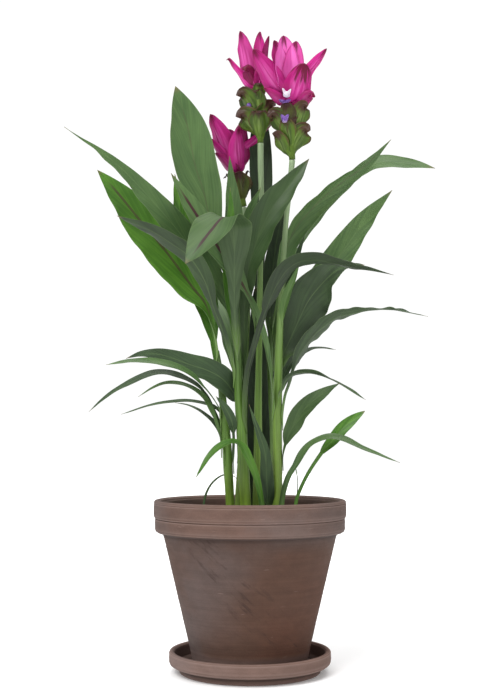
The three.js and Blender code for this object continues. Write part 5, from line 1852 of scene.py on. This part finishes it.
LEAF_FINISHES = {
    LeafKind.GREEN: LeafFinish(
        "leaf_grey_green", upper=(84, 113, 62), upper_deep=(68, 97, 52),
        under=(76, 99, 60), under_deep=(60, 82, 48)),
    LeafKind.BRIGHT: LeafFinish(
        "leaf_bright_green", upper=(80, 126, 36), upper_deep=(58, 100, 26),
        under=(80, 112, 52), under_deep=(62, 92, 40)),
    LeafKind.DARK: LeafFinish(
        "leaf_dark_green", upper=(60, 82, 50), upper_deep=(46, 65, 40),
        under=(60, 80, 49), under_deep=(47, 63, 40), roughness=0.6),
}
STEM_FINISHES = {
    Stalk.LEAFY: StemFinish(
        "stem_sheaths", low=(130, 160, 50), middle=(88, 124, 42), high=(80, 110, 54)),
    Stalk.SCAPE: StemFinish(
        "scape_pale", low=(132, 162, 62), middle=(106, 140, 60), high=(142, 164, 124)),
}
BRACT_FINISHES = {
    BractKind.GREEN: BractFinish(
        "bract_green", foot=(112, 142, 58), body=(82, 108, 34), deep=(58, 80, 26),
        light=(150, 172, 98), tip=(66, 32, 34), rim=(84, 52, 40), inside=(166, 172, 124),
        foot_end=0.2, tip_start=0.66, rim_start=0.84, rim_share=0.65, inside_share=0.7,
        roughness=0.38),
    BractKind.PINK: BractFinish(
        "bract_pink", foot=(176, 60, 118), body=(194, 36, 134), deep=(166, 16, 106),
        light=(238, 126, 204), tip=(92, 4, 32), rim=(158, 16, 96), inside=(208, 62, 154),
        foot_end=0.1, tip_start=0.82, rim_start=0.88, rim_share=0.45, inside_share=0.35,
        roughness=0.42, glow=0.1),
    BractKind.WHITE: BractFinish(
        "floret_white", foot=(220, 205, 225), body=(240, 234, 242), deep=(222, 210, 228),
        light=(250, 248, 250), tip=(236, 224, 240), rim=(214, 190, 222), inside=(244, 238, 246),
        rim_share=0.2, glow=0.1),
    BractKind.VIOLET: BractFinish(
        "floret_violet", foot=(186, 166, 206), body=(136, 102, 178), deep=(92, 56, 140),
        light=(176, 148, 206), tip=(80, 40, 120), rim=(104, 66, 150), inside=(150, 118, 190),
        rim_share=0.35, glow=0.1),
}
CLAY = ClayFinish("smoked_clay")
SOIL = SoilFinish("potting_soil")


@dataclass(frozen=True)
class Lamp:
    """A far, wide, soft light: where it comes from, its strength and how wide it looks."""

    name: str
    direction: Vec
    strength: float
    spread: float


@dataclass(frozen=True)
class Studio:
    """The camera, the pale floor and the soft lights."""

    eye: Vec = (0.0, -1.2984, 0.2610)
    pitch: float = 3.978
    lens: float = 60.17
    sensor: float = 36.0
    sight: float = 60.0
    floor_reach: float = 6.0
    floor_drop: float = 0.2
    floor_shade: Rgb = (250, 250, 250)
    floor_light: Rgb = (255, 255, 255)
    floor_glow: float = 0.12
    sky: float = 0.38
    sky_seen: float = 1.05
    lamps: tuple[Lamp, ...] = (
        Lamp("key", (-0.7, -0.9, 1.25), 2.4, 35.0),
        Lamp("fill", (1.0, -0.8, 0.7), 0.6, 70.0),
        Lamp("top", (0.1, 0.3, 1.0), 1.6, 50.0),
    )

    def camera(self) -> None:
        """Stands the camera in front, at the photograph's height and tilt."""
        data = bpy.data.cameras.new("camera")
        data.lens = self.lens
        data.sensor_width = self.sensor
        data.clip_end = self.sight
        camera = bpy.data.objects.new("camera", data)
        camera.location = self.eye
        camera.rotation_euler = (math.radians(90 + self.pitch), 0.0, 0.0)
        bpy.context.scene.collection.objects.link(camera)
        bpy.context.scene.camera = camera

    def floor(self) -> None:
        """Lays a plain white floor, a square sheet just under the saucer."""
        reach = self.floor_reach / MM
        corners = np.array([(-1, -1, 0), (1, -1, 0), (1, 1, 0), (-1, 1, 0)], float)
        points = corners * reach - np.array([0, 0, self.floor_drop])
        g = Graph("floor_white")
        shade = g.noise(g.place, 3.0, 2.0)
        g.color = g.mix(g.spread(shade, 0.0, 1.0), self.floor_shade, self.floor_light)
        g.feed(g.shader, {"Emission Color": g.color, "Emission Strength": self.floor_glow})
        floor = put("floor", Surface(points, np.array([[0, 1, 2, 3]])), g.finish(0.9, 0.1))

    def light(self) -> None:
        """Hangs the lamps and sets a white surround that the camera sees as plain white."""
        for lamp in self.lamps:
            data = bpy.data.lights.new(lamp.name, "SUN")
            data.energy = lamp.strength
            data.angle = math.radians(lamp.spread)
            made = bpy.data.objects.new(lamp.name, data)
            away = np.array(lamp.direction) / np.linalg.norm(lamp.direction)
            tilt = math.acos(away[2])
            turn = math.atan2(away[1], away[0]) + math.pi / 2
            made.rotation_euler = (tilt, 0.0, turn)
            bpy.context.scene.collection.objects.link(made)
        world = bpy.data.worlds.new("studio")
        bpy.context.scene.world = world
        world.use_nodes = True
        nodes, links = world.node_tree.nodes, world.node_tree.links
        seen = nodes.new("ShaderNodeLightPath").outputs["Is Camera Ray"]
        strength = nodes.new("ShaderNodeMapRange")
        for socket, value in zip(strength.inputs[1:], (0.0, 1.0, self.sky, self.sky_seen)):
            socket.default_value = value
        links.new(seen, strength.inputs[0])
        links.new(strength.outputs[0], nodes["Background"].inputs["Strength"])
        nodes["Background"].inputs["Color"].default_value = (1.0, 1.0, 1.0, 1.0)
        bpy.context.scene.view_settings.view_transform = "Standard"

    def build(self) -> None:
        """Sets the whole studio up."""
        self.camera()
        self.floor()
        self.light()


@dataclass(frozen=True)
class Plant:
    """The potted plant: every piece that stands for a CAD node."""

    stems: tuple[Stem, ...]
    leaves: tuple[Leaf, ...]
    heads: tuple[Head, ...]

    def build_clay(self) -> None:
        """Turns pot and saucer and fills the pot with soil."""
        clay = CLAY.material()
        for form in (SAUCER, POT):
            stand_for(put(form.name, form.surface(), clay), form.node)
        bed = SoilBed()
        stand_for(put(bed.name, bed.surface(), SOIL.material()), "soil")

    def build_stems(self) -> None:
        """Raises the stems."""
        finishes = {kind: finish.material() for kind, finish in STEM_FINISHES.items()}
        for seed, stem in enumerate(self.stems):
            piece = put(f"{stem.name}_grown", stem.surface(seed), finishes[stem.stalk])
            stand_for(piece, stem.name)

    def build_leaves(self) -> None:
        """Grows the leaves."""
        finishes = {kind: finish.material() for kind, finish in LEAF_FINISHES.items()}
        stems = {stem.name: stem for stem in self.stems}
        for seed, leaf in enumerate(self.leaves):
            surface = leaf.surface(stems, seed)
            piece = put(f"blade_{leaf.number}", surface, finishes[leaf.kind])
            stand_for(piece, f"leaf_{leaf.number}")

    def build_heads(self) -> None:
        """Opens the blooms and florets."""
        finishes = {kind: finish.material() for kind, finish in BRACT_FINISHES.items()}
        for seed, head in enumerate(self.heads):
            piece = put(head.name, head.surface(100 * seed), finishes[head.kind])
            stand_for(piece, head.node)


def main() -> None:
    """Builds the studio and the plant, piece by piece."""
    logging.basicConfig(level=logging.INFO, format="%(name)s %(message)s")
    Studio().build()
    heads = tuple(head for pair in BLOOMS for head in pair)
    plant = Plant(STEMS, LEAVES, heads + FLORETS)
    plant.build_clay()
    plant.build_stems()
    plant.build_leaves()
    plant.build_heads()


if __name__ == "__main__":
    main()
